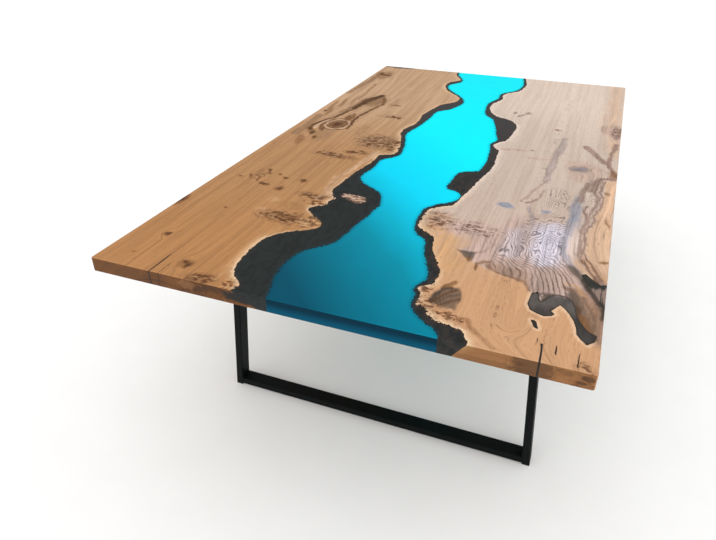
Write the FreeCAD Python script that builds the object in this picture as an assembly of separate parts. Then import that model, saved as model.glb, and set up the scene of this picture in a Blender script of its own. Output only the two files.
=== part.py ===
"""River dining table: two live-edge oak slabs cast together with blue resin on two steel leg frames.

Frame: millimetres, origin on the floor under the middle of the top, +X across the width,
+Y along the length away from the near end, +Z up.
"""

import FreeCAD
import Part

import math
import os

from FreeCAD import Vector

# Table top
LENGTH = 2300.0
WIDTH = 1250.0
HEIGHT = 750.0
TOP_THICKNESS = 40.0
CORNER_RADIUS = 6.0
EDGE_EASE = 2.5

# Share of the dark lining's width that the wood gains from the top face to the underside
LEFT_WOOD_SLOPE = 0.75
RIGHT_WOOD_SLOPE = 0.5

# Pockets in the wood that are filled with black resin
FILL_DEPTH = 18.0

# Leg frames
LEG_INSET = 430.0
FOOT_SETBACK = 89.0
HEAD_SETBACK = 142.0
TUBE_FACE = 25.0
TUBE_DEPTH = 50.0
TUBE_WALL = 2.0
TUBE_CORNER = 3.0

# Plastic plugs that close the posts and stand on the floor
PLUG_FLANGE = 5.0
PLUG_STEM = 20.0
PLUG_WALL = 2.0
PLUG_CLEARANCE = 0.2
PLUG_ROUND = 1.0

# Mounting plates on top of the leg frames
PLATE_LENGTH = 150.0
PLATE_FLANGE = 30.0
PLATE_THICKNESS = 5.0
PLATE_CORNER = 6.0
SLOT_END_INSET = 22.0
SLOT_CLEARANCE = 0.5
SLOT_TRAVEL = 10.0

# Bolts, washers and threaded inserts
BOLT_DIAMETER = 8.0
BOLT_HEAD_FLATS = 13.0
BOLT_HEAD_HEIGHT = 5.3
BOLT_TIP_GAP = 2.0
WASHER_DIAMETER = 16.0
WASHER_THICKNESS = 1.6
WASHER_CLEARANCE = 0.2
INSERT_WALL = 2.0
INSERT_LENGTH = 20.0
THREAD_CLEARANCE = 0.1
POCKET_CLEARANCE = 0.1
POCKET_RUNOUT = 2.0

# Live edges: distance from the near end, edge of the wood, edge of the dark lining, both from the middle
LEFT_EDGE = [
    (0, -207, -110), (25, -196, -116), (55, -224, -126), (110, -252, -141), (190, -260, -142),
    (255, -256, -116), (305, -226, -73), (350, -165, -65), (375, -146, -60), (405, -155, -58),
    (440, -200, -54), (482, -224, -47), (515, -187, -44), (545, -190, -43), (562, -180, -38),
    (600, -203, -45), (645, -210, -60), (685, -209, -102), (730, -207, -160), (760, -206, -174),
    (850, -191, -162), (945, -184, -156), (970, -184, -133), (998, -142, -119), (1050, -134, -121),
    (1120, -150, -135), (1185, -168, -155), (1250, -189, -166), (1300, -188, -157), (1355, -171, -147),
    (1450, -170, -138), (1485, -174, -136), (1580, -162, -126), (1610, -156, -98), (1680, -138, -69),
    (1740, -94, -58), (1805, -87, -75), (1865, -125, -114), (1930, -177, -165), (2040, -210, -192),
    (2090, -199, -160), (2140, -164, -156), (2200, -190, -182), (2260, -213, -206), (2300, -216, -209),
]
RIGHT_EDGE = [
    (0, 364, 301), (26, 353, 290), (45, 336, 262), (54, 300, 250), (66, 264, 236),
    (92, 242, 218), (104, 220, 213), (126, 219, 211), (147, 214, 208), (164, 204, 200),
    (182, 208, 201), (195, 225, 206), (221, 235, 215), (253, 236, 209), (310, 213, 186),
    (380, 183, 164), (415, 176, 153), (432, 170, 130), (453, 148, 114), (484, 112, 104),
    (530, 105, 97), (580, 106, 96), (605, 111, 99), (626, 130, 112), (650, 158, 130),
    (662, 168, 148), (680, 173, 164), (745, 183, 172), (762, 186, 155), (772, 188, 125),
    (790, 190, 119), (850, 197, 120), (895, 203, 122), (925, 209, 134), (940, 211, 155),
    (952, 213, 182), (990, 217, 189), (1050, 219, 192), (1130, 213, 185), (1185, 206, 179),
    (1212, 186, 173), (1240, 180, 170), (1265, 188, 176), (1290, 207, 184), (1330, 219, 176),
    (1410, 225, 158), (1480, 225, 140), (1525, 212, 127), (1565, 181, 107), (1585, 140, 88),
    (1630, 97, 69), (1690, 74, 60), (1755, 69, 54), (1810, 79, 62), (1875, 97, 82),
    (1935, 88, 77), (1975, 99, 88), (2040, 147, 135), (2090, 158, 148), (2150, 163, 153),
    (2230, 153, 143), (2300, 140, 130),
]

# Knob of the left slab that comes up through its dark lining: distance from the near end, from the middle
ISLAND = [
    (622, -162), (616, -128), (610, -100), (582, -86),
    (564, -96), (570, -132), (584, -158), (602, -174),
]

# Filled voids of the right slab: distance from the near end, distance in from the right-hand edge
HEART_VOID = [
    (252, 164), (203, 167), (180, 158), (171, 142), (165, 125), (173, 109), (182, 103), (192, 112),
    (212, 102), (223, 96), (212, 85), (195, 74), (170, 62), (145, 55), (122, 52), (106, 42),
    (92, 28), (108, 14), (132, 10), (140, 26), (152, 36), (172, 48), (200, 57), (228, 62),
    (250, 70), (266, 84), (268, 106), (258, 120), (243, 130), (222, 139), (240, 146), (262, 150),
]
EDGE_VOID = [
    (378, 62), (350, 52), (322, 38), (290, 24), (258, 10),
    (238, -5), (356, -5), (346, 14), (362, 30), (388, 52),
]
EYE_VOID = [(143, 147), (140, 139), (125, 134), (112, 132), (114, 138), (128, 145)]
END_CRACK = [(64, 119), (63, 114), (40, 112), (-5, 110.5), (-5, 115), (40, 116)]

UNDERSIDE = HEIGHT - TOP_THICKNESS
PLATE_UNDERSIDE = UNDERSIDE - PLATE_THICKNESS
NEAR_END = -LENGTH / 2
RIGHT_SIDE = WIDTH / 2
LEG_CENTRE = LENGTH / 2 - LEG_INSET - TUBE_DEPTH / 2
INSERT_RADIUS = BOLT_DIAMETER / 2 + INSERT_WALL
FOOT_OUTSIDE = WIDTH / 2 - FOOT_SETBACK
HEAD_OUTSIDE = WIDTH / 2 - HEAD_SETBACK
SAME_POINT = 1e-6
SIDES = ("left", "right")
LEGS = {"near": -LEG_CENTRE, "far": LEG_CENTRE}


def outward(side):
    """Sign along X of the way out from the middle on one side of the table."""
    return -1 if side == "left" else 1


def rounded_rectangle(size_x, size_y, radius):
    """Flat face of the given size about the origin, with round corners, or square ones at no radius."""
    half_x = size_x / 2
    half_y = size_y / 2
    corners = [(1, 1), (-1, 1), (-1, -1), (1, -1)]
    diagonal = radius * (1 - math.sqrt(0.5))
    ends = []
    edges = []
    for sign_x, sign_y in corners:
        along_x = Vector(sign_x * (half_x - radius), sign_y * half_y, 0)
        along_y = Vector(sign_x * half_x, sign_y * (half_y - radius), 0)
        middle = Vector(sign_x * (half_x - diagonal), sign_y * (half_y - diagonal), 0)
        first, last = (along_y, along_x) if sign_x == sign_y else (along_x, along_y)
        ends.append((first, last))
        if radius > 0:
            edges.append(Part.Arc(first, middle, last).toShape())
    for corner, following in zip(ends, ends[1:] + ends[:1]):
        if not corner[1].isEqual(following[0], SAME_POINT):
            edges.append(Part.makeLine(corner[1], following[0]))
    return Part.Face(Part.Wire(Part.__sortEdges__(edges)))


def inside_tube(gap, corner_gap):
    """Section of what fits inside the leg tube with a gap to its outside, about the origin."""
    corner = max(TUBE_CORNER - corner_gap, 0)
    return rounded_rectangle(TUBE_FACE - 2 * gap, TUBE_DEPTH - 2 * gap, corner)


def tube_section():
    """Hollow section of the leg tube about the origin, its face along X and its depth along Y."""
    return inside_tube(0, 0).cut(inside_tube(TUBE_WALL, TUBE_WALL))


def post_outside(height):
    """Distance from the middle to a post's outer face at a height above the floor."""
    return FOOT_OUTSIDE + (HEAD_OUTSIDE - FOOT_OUTSIDE) * height / UNDERSIDE


def post_middle(height):
    """Distance from the middle to a post's centre line at a height above the floor."""
    return post_outside(height) - TUBE_FACE / 2


def post_inside(height):
    """Distance from the middle to a post's inner face at a height above the floor."""
    return post_outside(height) - TUBE_FACE


def along_post(section, side, leg_y, low, high):
    """A flat section about the origin, drawn along a leaning post from one height to another."""
    start = Vector(outward(side) * post_middle(low), leg_y, low)
    end = Vector(outward(side) * post_middle(high), leg_y, high)
    placed = section.copy()
    placed.translate(start)
    return placed.extrude(end - start)


def make_post(side, leg_y):
    """Leaning hollow post from its foot plug to its mounting plate."""
    return along_post(tube_section(), side, leg_y, PLUG_FLANGE, PLATE_UNDERSIDE)


def make_bar(leg_y, low):
    """Level hollow bar that is welded between the two posts of a frame."""
    high = low + TUBE_FACE
    section = tube_section()
    section.rotate(Vector(0, 0, 0), Vector(0, 1, 0), 90)
    section.translate(Vector(-WIDTH, leg_y, low + TUBE_FACE / 2))
    bar = section.extrude(Vector(2 * WIDTH, 0, 0))
    front = leg_y - TUBE_DEPTH
    corners = [
        Vector(-post_inside(low), front, low),
        Vector(post_inside(low), front, low),
        Vector(post_inside(high), front, high),
        Vector(-post_inside(high), front, high),
    ]
    between_posts = Part.Face(Part.makePolygon(corners + corners[:1])).extrude(Vector(0, 2 * TUBE_DEPTH, 0))
    return bar.common(between_posts)


def make_plug(side, leg_y):
    """Plastic plug: a flange that stands on the floor and a hollow stem inside the post."""
    flange = along_post(inside_tube(0, 0), side, leg_y, 0, PLUG_FLANGE)
    lower_edges = [edge for edge in flange.Edges if edge.BoundBox.ZMax < PLUG_FLANGE / 2]
    flange = flange.makeFillet(PLUG_ROUND, lower_edges)
    stem_gap = TUBE_WALL + PLUG_CLEARANCE
    hollow_gap = stem_gap + PLUG_WALL
    stem_section = inside_tube(stem_gap, TUBE_WALL).cut(inside_tube(hollow_gap, hollow_gap))
    stem = along_post(stem_section, side, leg_y, PLUG_FLANGE, PLUG_FLANGE + PLUG_STEM)
    return flange.fuse(stem).removeSplitter()


def plate_middle(side):
    """Distance along X to the middle of a mounting plate, whose outer end is flush with its post."""
    return outward(side) * (post_outside(PLATE_UNDERSIDE) - PLATE_LENGTH / 2)


def bolt_places(side, leg_y):
    """Points on the underside of the top where one plate's bolts go in."""
    along = PLATE_LENGTH / 2 - SLOT_END_INSET
    across = (TUBE_DEPTH + PLATE_FLANGE) / 2
    places = []
    for sign_x in (-1, 1):
        for sign_y in (-1, 1):
            places.append(Vector(plate_middle(side) + sign_x * along, leg_y + sign_y * across, UNDERSIDE))
    return places


def make_plate(side, leg_y):
    """Mounting plate with slots that let the wood swell and shrink across its width."""
    depth = TUBE_DEPTH + 2 * PLATE_FLANGE
    plate = rounded_rectangle(PLATE_LENGTH, depth, PLATE_CORNER)
    plate.translate(Vector(plate_middle(side), leg_y, PLATE_UNDERSIDE))
    width = BOLT_DIAMETER + 2 * SLOT_CLEARANCE
    slots = []
    for place in bolt_places(side, leg_y):
        slot = rounded_rectangle(width + SLOT_TRAVEL, width, width / 2)
        slot.translate(Vector(place.x, place.y, PLATE_UNDERSIDE))
        slots.append(slot)
    return plate.cut(slots).extrude(Vector(0, 0, PLATE_THICKNESS))


def make_washer(place):
    """Flat washer against the underside of a plate."""
    seat = Vector(place.x, place.y, PLATE_UNDERSIDE - WASHER_THICKNESS)
    disc = Part.makeCylinder(WASHER_DIAMETER / 2, WASHER_THICKNESS, seat)
    bore_radius = BOLT_DIAMETER / 2 + WASHER_CLEARANCE
    return disc.cut(Part.makeCylinder(bore_radius, WASHER_THICKNESS, seat))


def make_bolt(place):
    """Hexagon bolt whose head bears on its washer and whose shank reaches up into its insert."""
    seat = Vector(place.x, place.y, PLATE_UNDERSIDE - WASHER_THICKNESS)
    corner_radius = BOLT_HEAD_FLATS / math.sqrt(3)
    corners = []
    for step in range(7):
        angle = math.radians(60 * step)
        corners.append(seat + Vector(corner_radius * math.cos(angle), corner_radius * math.sin(angle), 0))
    head = Part.Face(Part.makePolygon(corners)).extrude(Vector(0, 0, -BOLT_HEAD_HEIGHT))
    shank_length = WASHER_THICKNESS + PLATE_THICKNESS + INSERT_LENGTH - BOLT_TIP_GAP
    shank = Part.makeCylinder(BOLT_DIAMETER / 2, shank_length, seat)
    return head.fuse(shank)


def make_insert(place):
    """Threaded insert flush with the underside of the wood."""
    sleeve = Part.makeCylinder(INSERT_RADIUS, INSERT_LENGTH, place)
    bore = Part.makeCylinder(BOLT_DIAMETER / 2 + THREAD_CLEARANCE, INSERT_LENGTH, place)
    return sleeve.cut(bore)


def make_insert_pocket(place):
    """Blind hole in the wood for an insert."""
    return Part.makeCylinder(INSERT_RADIUS + POCKET_CLEARANCE, INSERT_LENGTH + POCKET_RUNOUT, place)


def make_top_block():
    """The whole top before it is parted into wood, lining and resin."""
    face = rounded_rectangle(WIDTH, LENGTH, CORNER_RADIUS)
    face.translate(Vector(0, 0, UNDERSIDE))
    block = face.extrude(Vector(0, 0, TOP_THICKNESS))
    rims = [edge for edge in block.Edges if edge.BoundBox.ZLength < TOP_THICKNESS / 2]
    return block.makeFillet(EDGE_EASE, rims)


def edge_wire(stations, column, slope, side, height):
    """Closed outline at one height of all that lies outward of a live edge or of its lining."""
    drop = (HEIGHT - height) / TOP_THICKNESS
    points = []
    for station in stations:
        shift = slope * drop * (station[2] - station[1])
        points.append(Vector(station[column] + shift, NEAR_END + station[0], height))
    curve = Part.BSplineCurve()
    curve.interpolate(points)
    near = -LENGTH
    far = LENGTH + points[-1].y
    outside = outward(side) * WIDTH
    corners = [
        points[-1],
        Vector(points[-1].x, far, height),
        Vector(outside, far, height),
        Vector(outside, near, height),
        Vector(points[0].x, near, height),
        points[0],
    ]
    edges = [curve.toShape()]
    for first, last in zip(corners, corners[1:]):
        edges.append(Part.makeLine(first, last))
    return Part.Wire(edges)


def outward_of(stations, column, slope, side):
    """Solid that holds all that lies outward of a live edge or of its lining."""
    low = edge_wire(stations, column, slope, side, UNDERSIDE - EDGE_EASE)
    high = edge_wire(stations, column, slope, side, HEIGHT + EDGE_EASE)
    return Part.makeLoft([low, high], True, True)


def closed_outline(points, depth, smooth):
    """Upright prism below the top face, on a closed outline of plan points."""
    level = [Vector(point.x, point.y, HEIGHT) for point in points]
    if smooth:
        curve = Part.BSplineCurve()
        curve.interpolate(level, PeriodicFlag=True)
        wire = Part.Wire(curve.toShape())
    else:
        wire = Part.makePolygon(level + level[:1])
    return Part.Face(wire).extrude(Vector(0, 0, -depth))


def from_right_edge(outline):
    """Plan points of an outline that is measured from the near end and from the right-hand edge."""
    return [Vector(RIGHT_SIDE - inset, NEAR_END + along, 0) for along, inset in outline]


def from_middle(outline):
    """Plan points of an outline that is measured from the near end and from the middle."""
    return [Vector(across, NEAR_END + along, 0) for along, across in outline]


def make_top():
    """The slabs, their dark linings, the river and the black fills, which share their faces."""
    block = make_top_block()
    left_wood = outward_of(LEFT_EDGE, 1, LEFT_WOOD_SLOPE, "left")
    left_lined = outward_of(LEFT_EDGE, 2, 0, "left")
    right_wood = outward_of(RIGHT_EDGE, 1, RIGHT_WOOD_SLOPE, "right")
    right_lined = outward_of(RIGHT_EDGE, 2, 0, "right")
    island = closed_outline(from_middle(ISLAND), TOP_THICKNESS, True)
    left_wood = left_wood.fuse(island)

    top = {
        "left_slab": block.common(left_wood),
        "left_bark_lining": block.common(left_lined).cut(left_wood),
        "river_resin": block.cut([left_lined, right_lined]),
        "right_bark_lining": block.common(right_lined).cut(right_wood),
        "right_slab": block.common(right_wood),
    }
    voids = {
        "heart_void_fill": closed_outline(from_right_edge(HEART_VOID), FILL_DEPTH, False),
        "edge_void_fill": closed_outline(from_right_edge(EDGE_VOID), FILL_DEPTH, False),
        "eye_void_fill": closed_outline(from_right_edge(EYE_VOID), FILL_DEPTH, True),
        "end_crack_fill": closed_outline(from_right_edge(END_CRACK), TOP_THICKNESS, False),
    }
    for name, void in voids.items():
        top[name] = top["right_slab"].common(void)
    top["right_slab"] = top["right_slab"].cut(list(voids.values()))
    return top


def make_leg(name, leg_y):
    """One welded leg frame with its plugs, and the parts that fasten it to the top."""
    pieces = {
        name + "_foot_bar": make_bar(leg_y, PLUG_FLANGE),
        name + "_top_bar": make_bar(leg_y, PLATE_UNDERSIDE - TUBE_FACE),
    }
    places = []
    for side in SIDES:
        prefix = name + "_" + side
        pieces[prefix + "_post"] = make_post(side, leg_y)
        pieces[prefix + "_foot_plug"] = make_plug(side, leg_y)
        pieces[prefix + "_plate"] = make_plate(side, leg_y)
        places.extend(bolt_places(side, leg_y))
    pieces[name + "_bolts"] = Part.makeCompound([make_bolt(place) for place in places])
    pieces[name + "_washers"] = Part.makeCompound([make_washer(place) for place in places])
    pieces[name + "_inserts"] = Part.makeCompound([make_insert(place) for place in places])
    return pieces


def make_table():
    """Every piece of the table by name."""
    pieces = make_top()
    for side in SIDES:
        pockets = []
        for leg_y in LEGS.values():
            pockets.extend(make_insert_pocket(place) for place in bolt_places(side, leg_y))
        slab = side + "_slab"
        pieces[slab] = pieces[slab].cut(pockets)
    for leg_name, leg_y in LEGS.items():
        pieces.update(make_leg(leg_name, leg_y))
    return pieces


os.makedirs("parts", exist_ok=True)
for node, shape in make_table().items():
    shape.exportStep("parts/" + node + ".step")
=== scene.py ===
"""Looks of a river dining table: live-edge oak slabs, a blue resin river and black steel leg frames.

The table's frame has +X across to the right, +Y along the length away from the near end and +Z up, with its
origin on the floor under the middle of the top. Meshes are in metres, and the wood's figure is drawn in
millimetres.
"""

import logging
import math
from dataclasses import dataclass
from enum import Enum
from typing import Union

import bmesh
import bpy
import numpy as np
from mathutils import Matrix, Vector
from mathutils.kdtree import KDTree
from mathutils.noise import noise


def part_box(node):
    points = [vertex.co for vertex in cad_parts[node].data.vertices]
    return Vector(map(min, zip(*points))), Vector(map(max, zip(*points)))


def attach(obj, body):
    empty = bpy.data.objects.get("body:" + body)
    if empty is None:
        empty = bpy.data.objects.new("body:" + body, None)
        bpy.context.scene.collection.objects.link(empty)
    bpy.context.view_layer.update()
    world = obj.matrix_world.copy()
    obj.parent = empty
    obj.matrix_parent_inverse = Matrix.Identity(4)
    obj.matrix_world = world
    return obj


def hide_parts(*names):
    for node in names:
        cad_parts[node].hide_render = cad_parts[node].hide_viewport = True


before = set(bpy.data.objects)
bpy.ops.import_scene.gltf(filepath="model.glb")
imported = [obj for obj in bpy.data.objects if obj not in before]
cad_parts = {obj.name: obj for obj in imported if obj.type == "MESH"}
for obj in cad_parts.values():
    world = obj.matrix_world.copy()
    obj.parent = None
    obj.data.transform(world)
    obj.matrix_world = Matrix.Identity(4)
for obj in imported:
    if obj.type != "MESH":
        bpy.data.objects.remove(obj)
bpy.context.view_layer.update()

LOG = logging.getLogger("river_table")
MM = 0.001
SAME_POINT = 0.001 * MM
TOP_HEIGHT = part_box("river_resin")[1].z
TOP_THICKNESS = TOP_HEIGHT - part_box("river_resin")[0].z
HEART_VOID = "heart_void_fill"
VOIDS = (HEART_VOID, "edge_void_fill", "eye_void_fill", "end_crack_fill")

# How far live edges reach from the table's middle in metres: those along the river and those round the voids,
# across the table, and all of them along it.
RIVER_REACH = 0.4
VOID_REACH = 0.62
LENGTH_REACH = 1.14
# Place along the table just inside its near end face.
NEAR_FACE = -1.149
# Spacing of the points that are taken along live edges.
EDGE_SPACING = 3 * MM
# Least part of a face's normal along an axis: of the level faces of the top, and of flat faces.
LEVEL_NORMAL = 0.99
FLAT_NORMAL = 0.999

# Width, length and reach in mm of the waves that loosen drawn outlines.
WAVES = ((55.0, 90.0, 8.0), (18.0, 27.0, 4.5))
# Distance in mm over which a grain line bends the rings, and the weight of straight grain against one line.
GRAIN_REACH = 45.0
STRAIGHT_WEIGHT = 0.15
# Specular level of oiled or sealed surfaces.
SATIN = 0.22

Colour = tuple[float, float, float, float]
Span = tuple[float, float]
Line = tuple[Span, ...]
Socket = bpy.types.NodeSocket
Triple = tuple[float, float, float]
Input = Union[float, Colour, Triple, Socket]


def paint(red: float, green: float, blue: float) -> Colour:
    """Linear colour for a shader.

    Args:
        red: Display value from 0 to 255.
        green: Display value from 0 to 255.
        blue: Display value from 0 to 255.

    Returns:
        The linear red, green and blue, and an alpha of 1.
    """
    linear = []
    for byte in (red, green, blue):
        share = byte / 255
        linear.append(share / 12.92 if share <= 0.04045 else ((share + 0.055) / 1.055) ** 2.4)
    return (linear[0], linear[1], linear[2], 1.0)


class Slot(Enum):
    """Names of the record's material slots."""

    OAK = "oak"
    BARK = "bark"
    BLUE_RESIN = "blue_resin"
    BLACK_RESIN = "black_resin"
    BLACK_STEEL = "black_steel"
    ZINC_STEEL = "zinc_steel"


class Figure(Enum):
    """Kinds of figure in the wood. Each is an attribute of the slab's mesh."""

    BURR = "burr"
    DARK = "dark"
    CURL = "curl_share"


class Tint(Enum):
    """Colours of the wood's stained and figured areas."""

    PALE = paint(220, 197, 184)
    TAN = paint(213, 176, 146)
    SAND = paint(196, 168, 152)
    ROSE = paint(198, 170, 158)
    BLUSH = paint(186, 160, 149)
    TAUPE = paint(164, 138, 126)
    MAUVE = paint(150, 122, 110)
    ASH = paint(178, 162, 156)
    # A painted reflection: pale grey-lilac sheen over the crotch figure.
    LILAC_SHEEN = paint(224, 217, 229)
    SLATE = paint(152, 152, 163)
    LEAD = paint(104, 90, 80)
    SOOT = paint(58, 48, 40)
    FAWN = paint(150, 114, 82)
    CHESTNUT = paint(134, 92, 54)
    UMBER = paint(118, 80, 46)
    DRAB = paint(120, 95, 76)
    RUSSET = paint(152, 120, 100)
    WALNUT = paint(84, 54, 28)
    HONEY = paint(204, 157, 110)
    AMBER = paint(178, 128, 88)


class Graph:
    """Shader nodes of one material, around a single Principled shader."""

    def __init__(self, name: str) -> None:
        """Starts a material with a Principled shader.

        Args:
            name: Name of the material.
        """
        self.material = bpy.data.materials.new(name)
        self.material.use_nodes = True
        self.tree = self.material.node_tree
        self.shader = self.tree.nodes["Principled BSDF"]

    def feed(self, socket: Socket, value: Input) -> None:
        """Links a socket to another, or sets its value.

        Args:
            socket: Input of a node.
            value: Output of another node, or the input's own value.
        """
        if isinstance(value, Socket):
            self.tree.links.new(value, socket)
        elif socket.type == "VECTOR":
            socket.default_value = value[:3]
        else:
            socket.default_value = value

    def add(self, kind: str, inputs: dict, output: Union[int, str] = 0, **settings: object) -> Socket:
        """Adds a node.

        Args:
            kind: Blender's name for the node's type.
            inputs: Value or socket for each input, by its name or number.
            output: Name or number of the output that is wanted.
            **settings: The node's own properties.

        Returns:
            The wanted output.
        """
        node = self.tree.nodes.new(kind)
        for name, value in settings.items():
            setattr(node, name, value)
        for name, value in inputs.items():
            self.feed(node.inputs[name], value)
        return node.outputs[output]

    def math(self, operation: str, *values: Input) -> Socket:
        """One step of arithmetic."""
        return self.add("ShaderNodeMath", dict(enumerate(values)), operation=operation)

    def times(self, first: Input, second: Input) -> Socket:
        """The product of two values."""
        return self.math("MULTIPLY", first, second)

    def place(self) -> Socket:
        """Position in the table's frame."""
        return self.add("ShaderNodeTexCoord", {}, "Object")

    def part(self, vector: Socket, axis: str) -> Socket:
        """The X, Y or Z of a position."""
        return self.add("ShaderNodeSeparateXYZ", {0: vector}, axis)

    def join(self, across: Input, along: Input, up: Input) -> Socket:
        """A position from its three parts."""
        return self.add("ShaderNodeCombineXYZ", {0: across, 1: along, 2: up})

    def attribute(self, name: str, output: str = "Fac") -> Socket:
        """A value or colour that the mesh carries at its vertices."""
        return self.add("ShaderNodeAttribute", {}, output, attribute_name=name)

    def stretch(self, vector: Socket, across: float, along: float, up: float) -> Socket:
        """A position scaled along each axis, in pattern cells per metre."""
        return self.add("ShaderNodeVectorMath", {0: vector, 1: (across, along, up)}, operation="MULTIPLY")

    def noise(
        self, place: Socket, cells: Triple, detail: float = 2.0, roughness: float = 0.5, swirl: float = 0.0
    ) -> Socket:
        """Soft noise from 0 to 1.

        Args:
            place: Position in metres.
            cells: Number of the noise's cells per metre along each axis.
            detail: Number of finer layers.
            roughness: Strength of each finer layer against the one before.
            swirl: Strength of the distortion.

        Returns:
            The noise.
        """
        inputs = {"Vector": self.stretch(place, *cells), "Scale": 1.0}
        inputs.update({"Detail": detail, "Roughness": roughness, "Distortion": swirl})
        return self.add("ShaderNodeTexNoise", inputs)

    def cells(self, vector: Socket, output: str = "Distance") -> Socket:
        """Scattered cells: the distance to a cell's middle, or its own random colour."""
        return self.add("ShaderNodeTexVoronoi", {"Vector": vector, "Scale": 1.0}, output)

    def fade(self, value: Input, start: float, end: float) -> Socket:
        """Smooth step from 0 at the start to 1 at the end, where the start may be the larger."""
        inputs = {"Value": value, "From Min": start, "From Max": end}
        return self.add("ShaderNodeMapRange", inputs, interpolation_type="SMOOTHSTEP")

    def between(self, value: Input, low: float, high: float) -> Socket:
        """A value from 0 to 1 brought to a range."""
        return self.add("ShaderNodeMapRange", {"Value": value, "To Min": low, "To Max": high})

    def mix(self, share: Input, first: Input, second: Input) -> Socket:
        """Two colours mixed by a share of the second."""
        return self.add("ShaderNodeMix", {0: share, 6: first, 7: second}, 2, data_type="RGBA")

    def cover(self, under: Input, over: Input, share: Input, most: float) -> Socket:
        """A colour covered by another, where a share of 1 covers by the most."""
        return self.mix(self.between(share, 0, most), under, over)

    def shade(self, colour: Input, brightness: Input) -> Socket:
        """A colour made brighter or darker."""
        return self.add("ShaderNodeVectorMath", {0: colour, "Scale": brightness}, operation="SCALE")

    def relief(self, height: Socket, depth: float, strength: float = 1.0) -> None:
        """Gives the surface a fine relief of a depth in metres."""
        normal = self.add("ShaderNodeBump", {"Height": height, "Distance": depth, "Strength": strength})
        self.feed(self.shader.inputs["Normal"], normal)

    def finish(self, **sockets: Input) -> bpy.types.Material:
        """Sets the shader's inputs.

        Args:
            **sockets: Value or socket for each input, by its name with underscores for spaces.

        Returns:
            The finished material.
        """
        for name, value in sockets.items():
            self.feed(self.shader.inputs[name.replace("_", " ")], value)
        return self.material


Kind = Union[Figure, Tint]


@dataclass(frozen=True)
class Oval:
    """An oval patch of figure: its middle, its half sizes and its turn in degrees."""

    kind: Kind
    across: float
    along: float
    half_across: float
    half_along: float
    turn: float = 0.0
    strength: float = 1.0

    def depth(self, places: np.ndarray) -> np.ndarray:
        """How deep each plan point lies in the patch: 1 at its middle, a half at its outline.

        Args:
            places: Plan points in mm.

        Returns:
            The depth at each point, which is 0 from twice the patch's size outwards.
        """
        angle = math.radians(self.turn)
        offset = places - np.array((self.across, self.along))
        sideways = offset[:, 0] * math.cos(angle) + offset[:, 1] * math.sin(angle)
        forward = offset[:, 1] * math.cos(angle) - offset[:, 0] * math.sin(angle)
        radius = np.hypot(sideways / self.half_across, forward / self.half_along)
        return np.clip(1 - radius / 2, 0, 1)


@dataclass(frozen=True)
class Ring:
    """A ring of figure round a knot: its middle, its half sizes and the half width of its line."""

    kind: Kind
    across: float
    along: float
    half_across: float
    half_along: float
    half_width: float
    strength: float = 1.0

    def depth(self, places: np.ndarray) -> np.ndarray:
        """How deep each plan point lies in the ring's line: 1 on it, a half at its outline.

        Args:
            places: Plan points in mm.

        Returns:
            The depth at each point, which is 0 from twice the line's width outwards.
        """
        middle = np.array((self.across, self.along))
        offset = (places - middle) / np.array((self.half_across, self.half_along))
        gap = np.abs(np.hypot(offset[:, 0], offset[:, 1]) - 1) * min(self.half_across, self.half_along)
        return np.clip(1 - gap / self.half_width / 2, 0, 1)


@dataclass(frozen=True)
class Band:
    """A band of figure along a drawn line."""

    kind: Kind
    line: Line
    half_width: float
    strength: float = 1.0

    def depth(self, places: np.ndarray) -> np.ndarray:
        """How deep each plan point lies in the band: 1 on its line, a half at its outline."""
        return np.clip(1 - line_distance(places, self.line) / self.half_width / 2, 0, 1)


@dataclass(frozen=True)
class Zone:
    """An area of figure inside a drawn outline, with a soft edge, that may run out along the table."""

    kind: Kind
    outline: Line
    softness: float
    strength: float = 1.0
    run_out: Span = (2000.0, 3000.0)

    def depth(self, places: np.ndarray) -> np.ndarray:
        """How deep each plan point lies in the area: 1 well inside, a half at its outline.

        Args:
            places: Plan points in mm.

        Returns:
            The depth at each point, which is 0 from the soft edge outwards.
        """
        distance = line_distance(places, self.outline + self.outline[:1])
        inside = np.zeros(len(places), bool)
        for start, end in zip(self.outline, self.outline[1:] + self.outline[:1]):
            spans = (start[1] > places[:, 1]) != (end[1] > places[:, 1])
            rise = (end[1] - start[1]) or SAME_POINT
            crossing = start[0] + (places[:, 1] - start[1]) / rise * (end[0] - start[0])
            inside ^= spans & (places[:, 0] < crossing)
        signed = np.where(inside, distance, -distance)
        start, end = self.run_out
        left_over = smooth((end - places[:, 1]) / (end - start))
        return np.clip(0.5 + signed / self.softness / 2, 0, 1) * left_over


Shape = Union[Oval, Ring, Band, Zone]


def ovals(kind: Kind, *rows: tuple[float, ...]) -> tuple[Oval, ...]:
    """Ovals of one kind, each from a row with its middle, half sizes, turn and strength."""
    return tuple(Oval(kind, *row) for row in rows)


@dataclass(frozen=True)
class GrainLine:
    """A line that the grain follows from end to end, and its place across in straight wood."""

    ring: float
    line: Line

    def across(self, along: np.ndarray) -> np.ndarray:
        """Place of the line across the table at each place along it."""
        return np.interp(along, [point[1] for point in self.line], [point[0] for point in self.line])


@dataclass(frozen=True)
class Knot:
    """A knot that the growth rings run round: its middle, its half sizes and the reach of its rings."""

    across: float
    along: float
    half_across: float
    half_along: float
    reach: float
    open_far: bool = False

    def bend(self, rings: np.ndarray, places: np.ndarray) -> np.ndarray:
        """Draws the growth rings round the knot.

        Args:
            rings: Distance across the growth rings at each plan point.
            places: The plan points.

        Returns:
            The distances with the knot's own rings blended in.
        """
        offset = places - np.array((self.across, self.along))
        forward = np.minimum(offset[:, 1], 0) if self.open_far else offset[:, 1]
        radius = np.hypot(offset[:, 0], forward * self.half_across / self.half_along)
        share = smooth(1 - radius / self.reach)
        return rings * (1 - share) + (self.across + radius) * share


@dataclass(frozen=True)
class Crack:
    """A hairline crack along the grain: its distance across, its near and far ends and its half width."""

    across: float
    near: float
    far: float
    half_width: float


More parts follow.
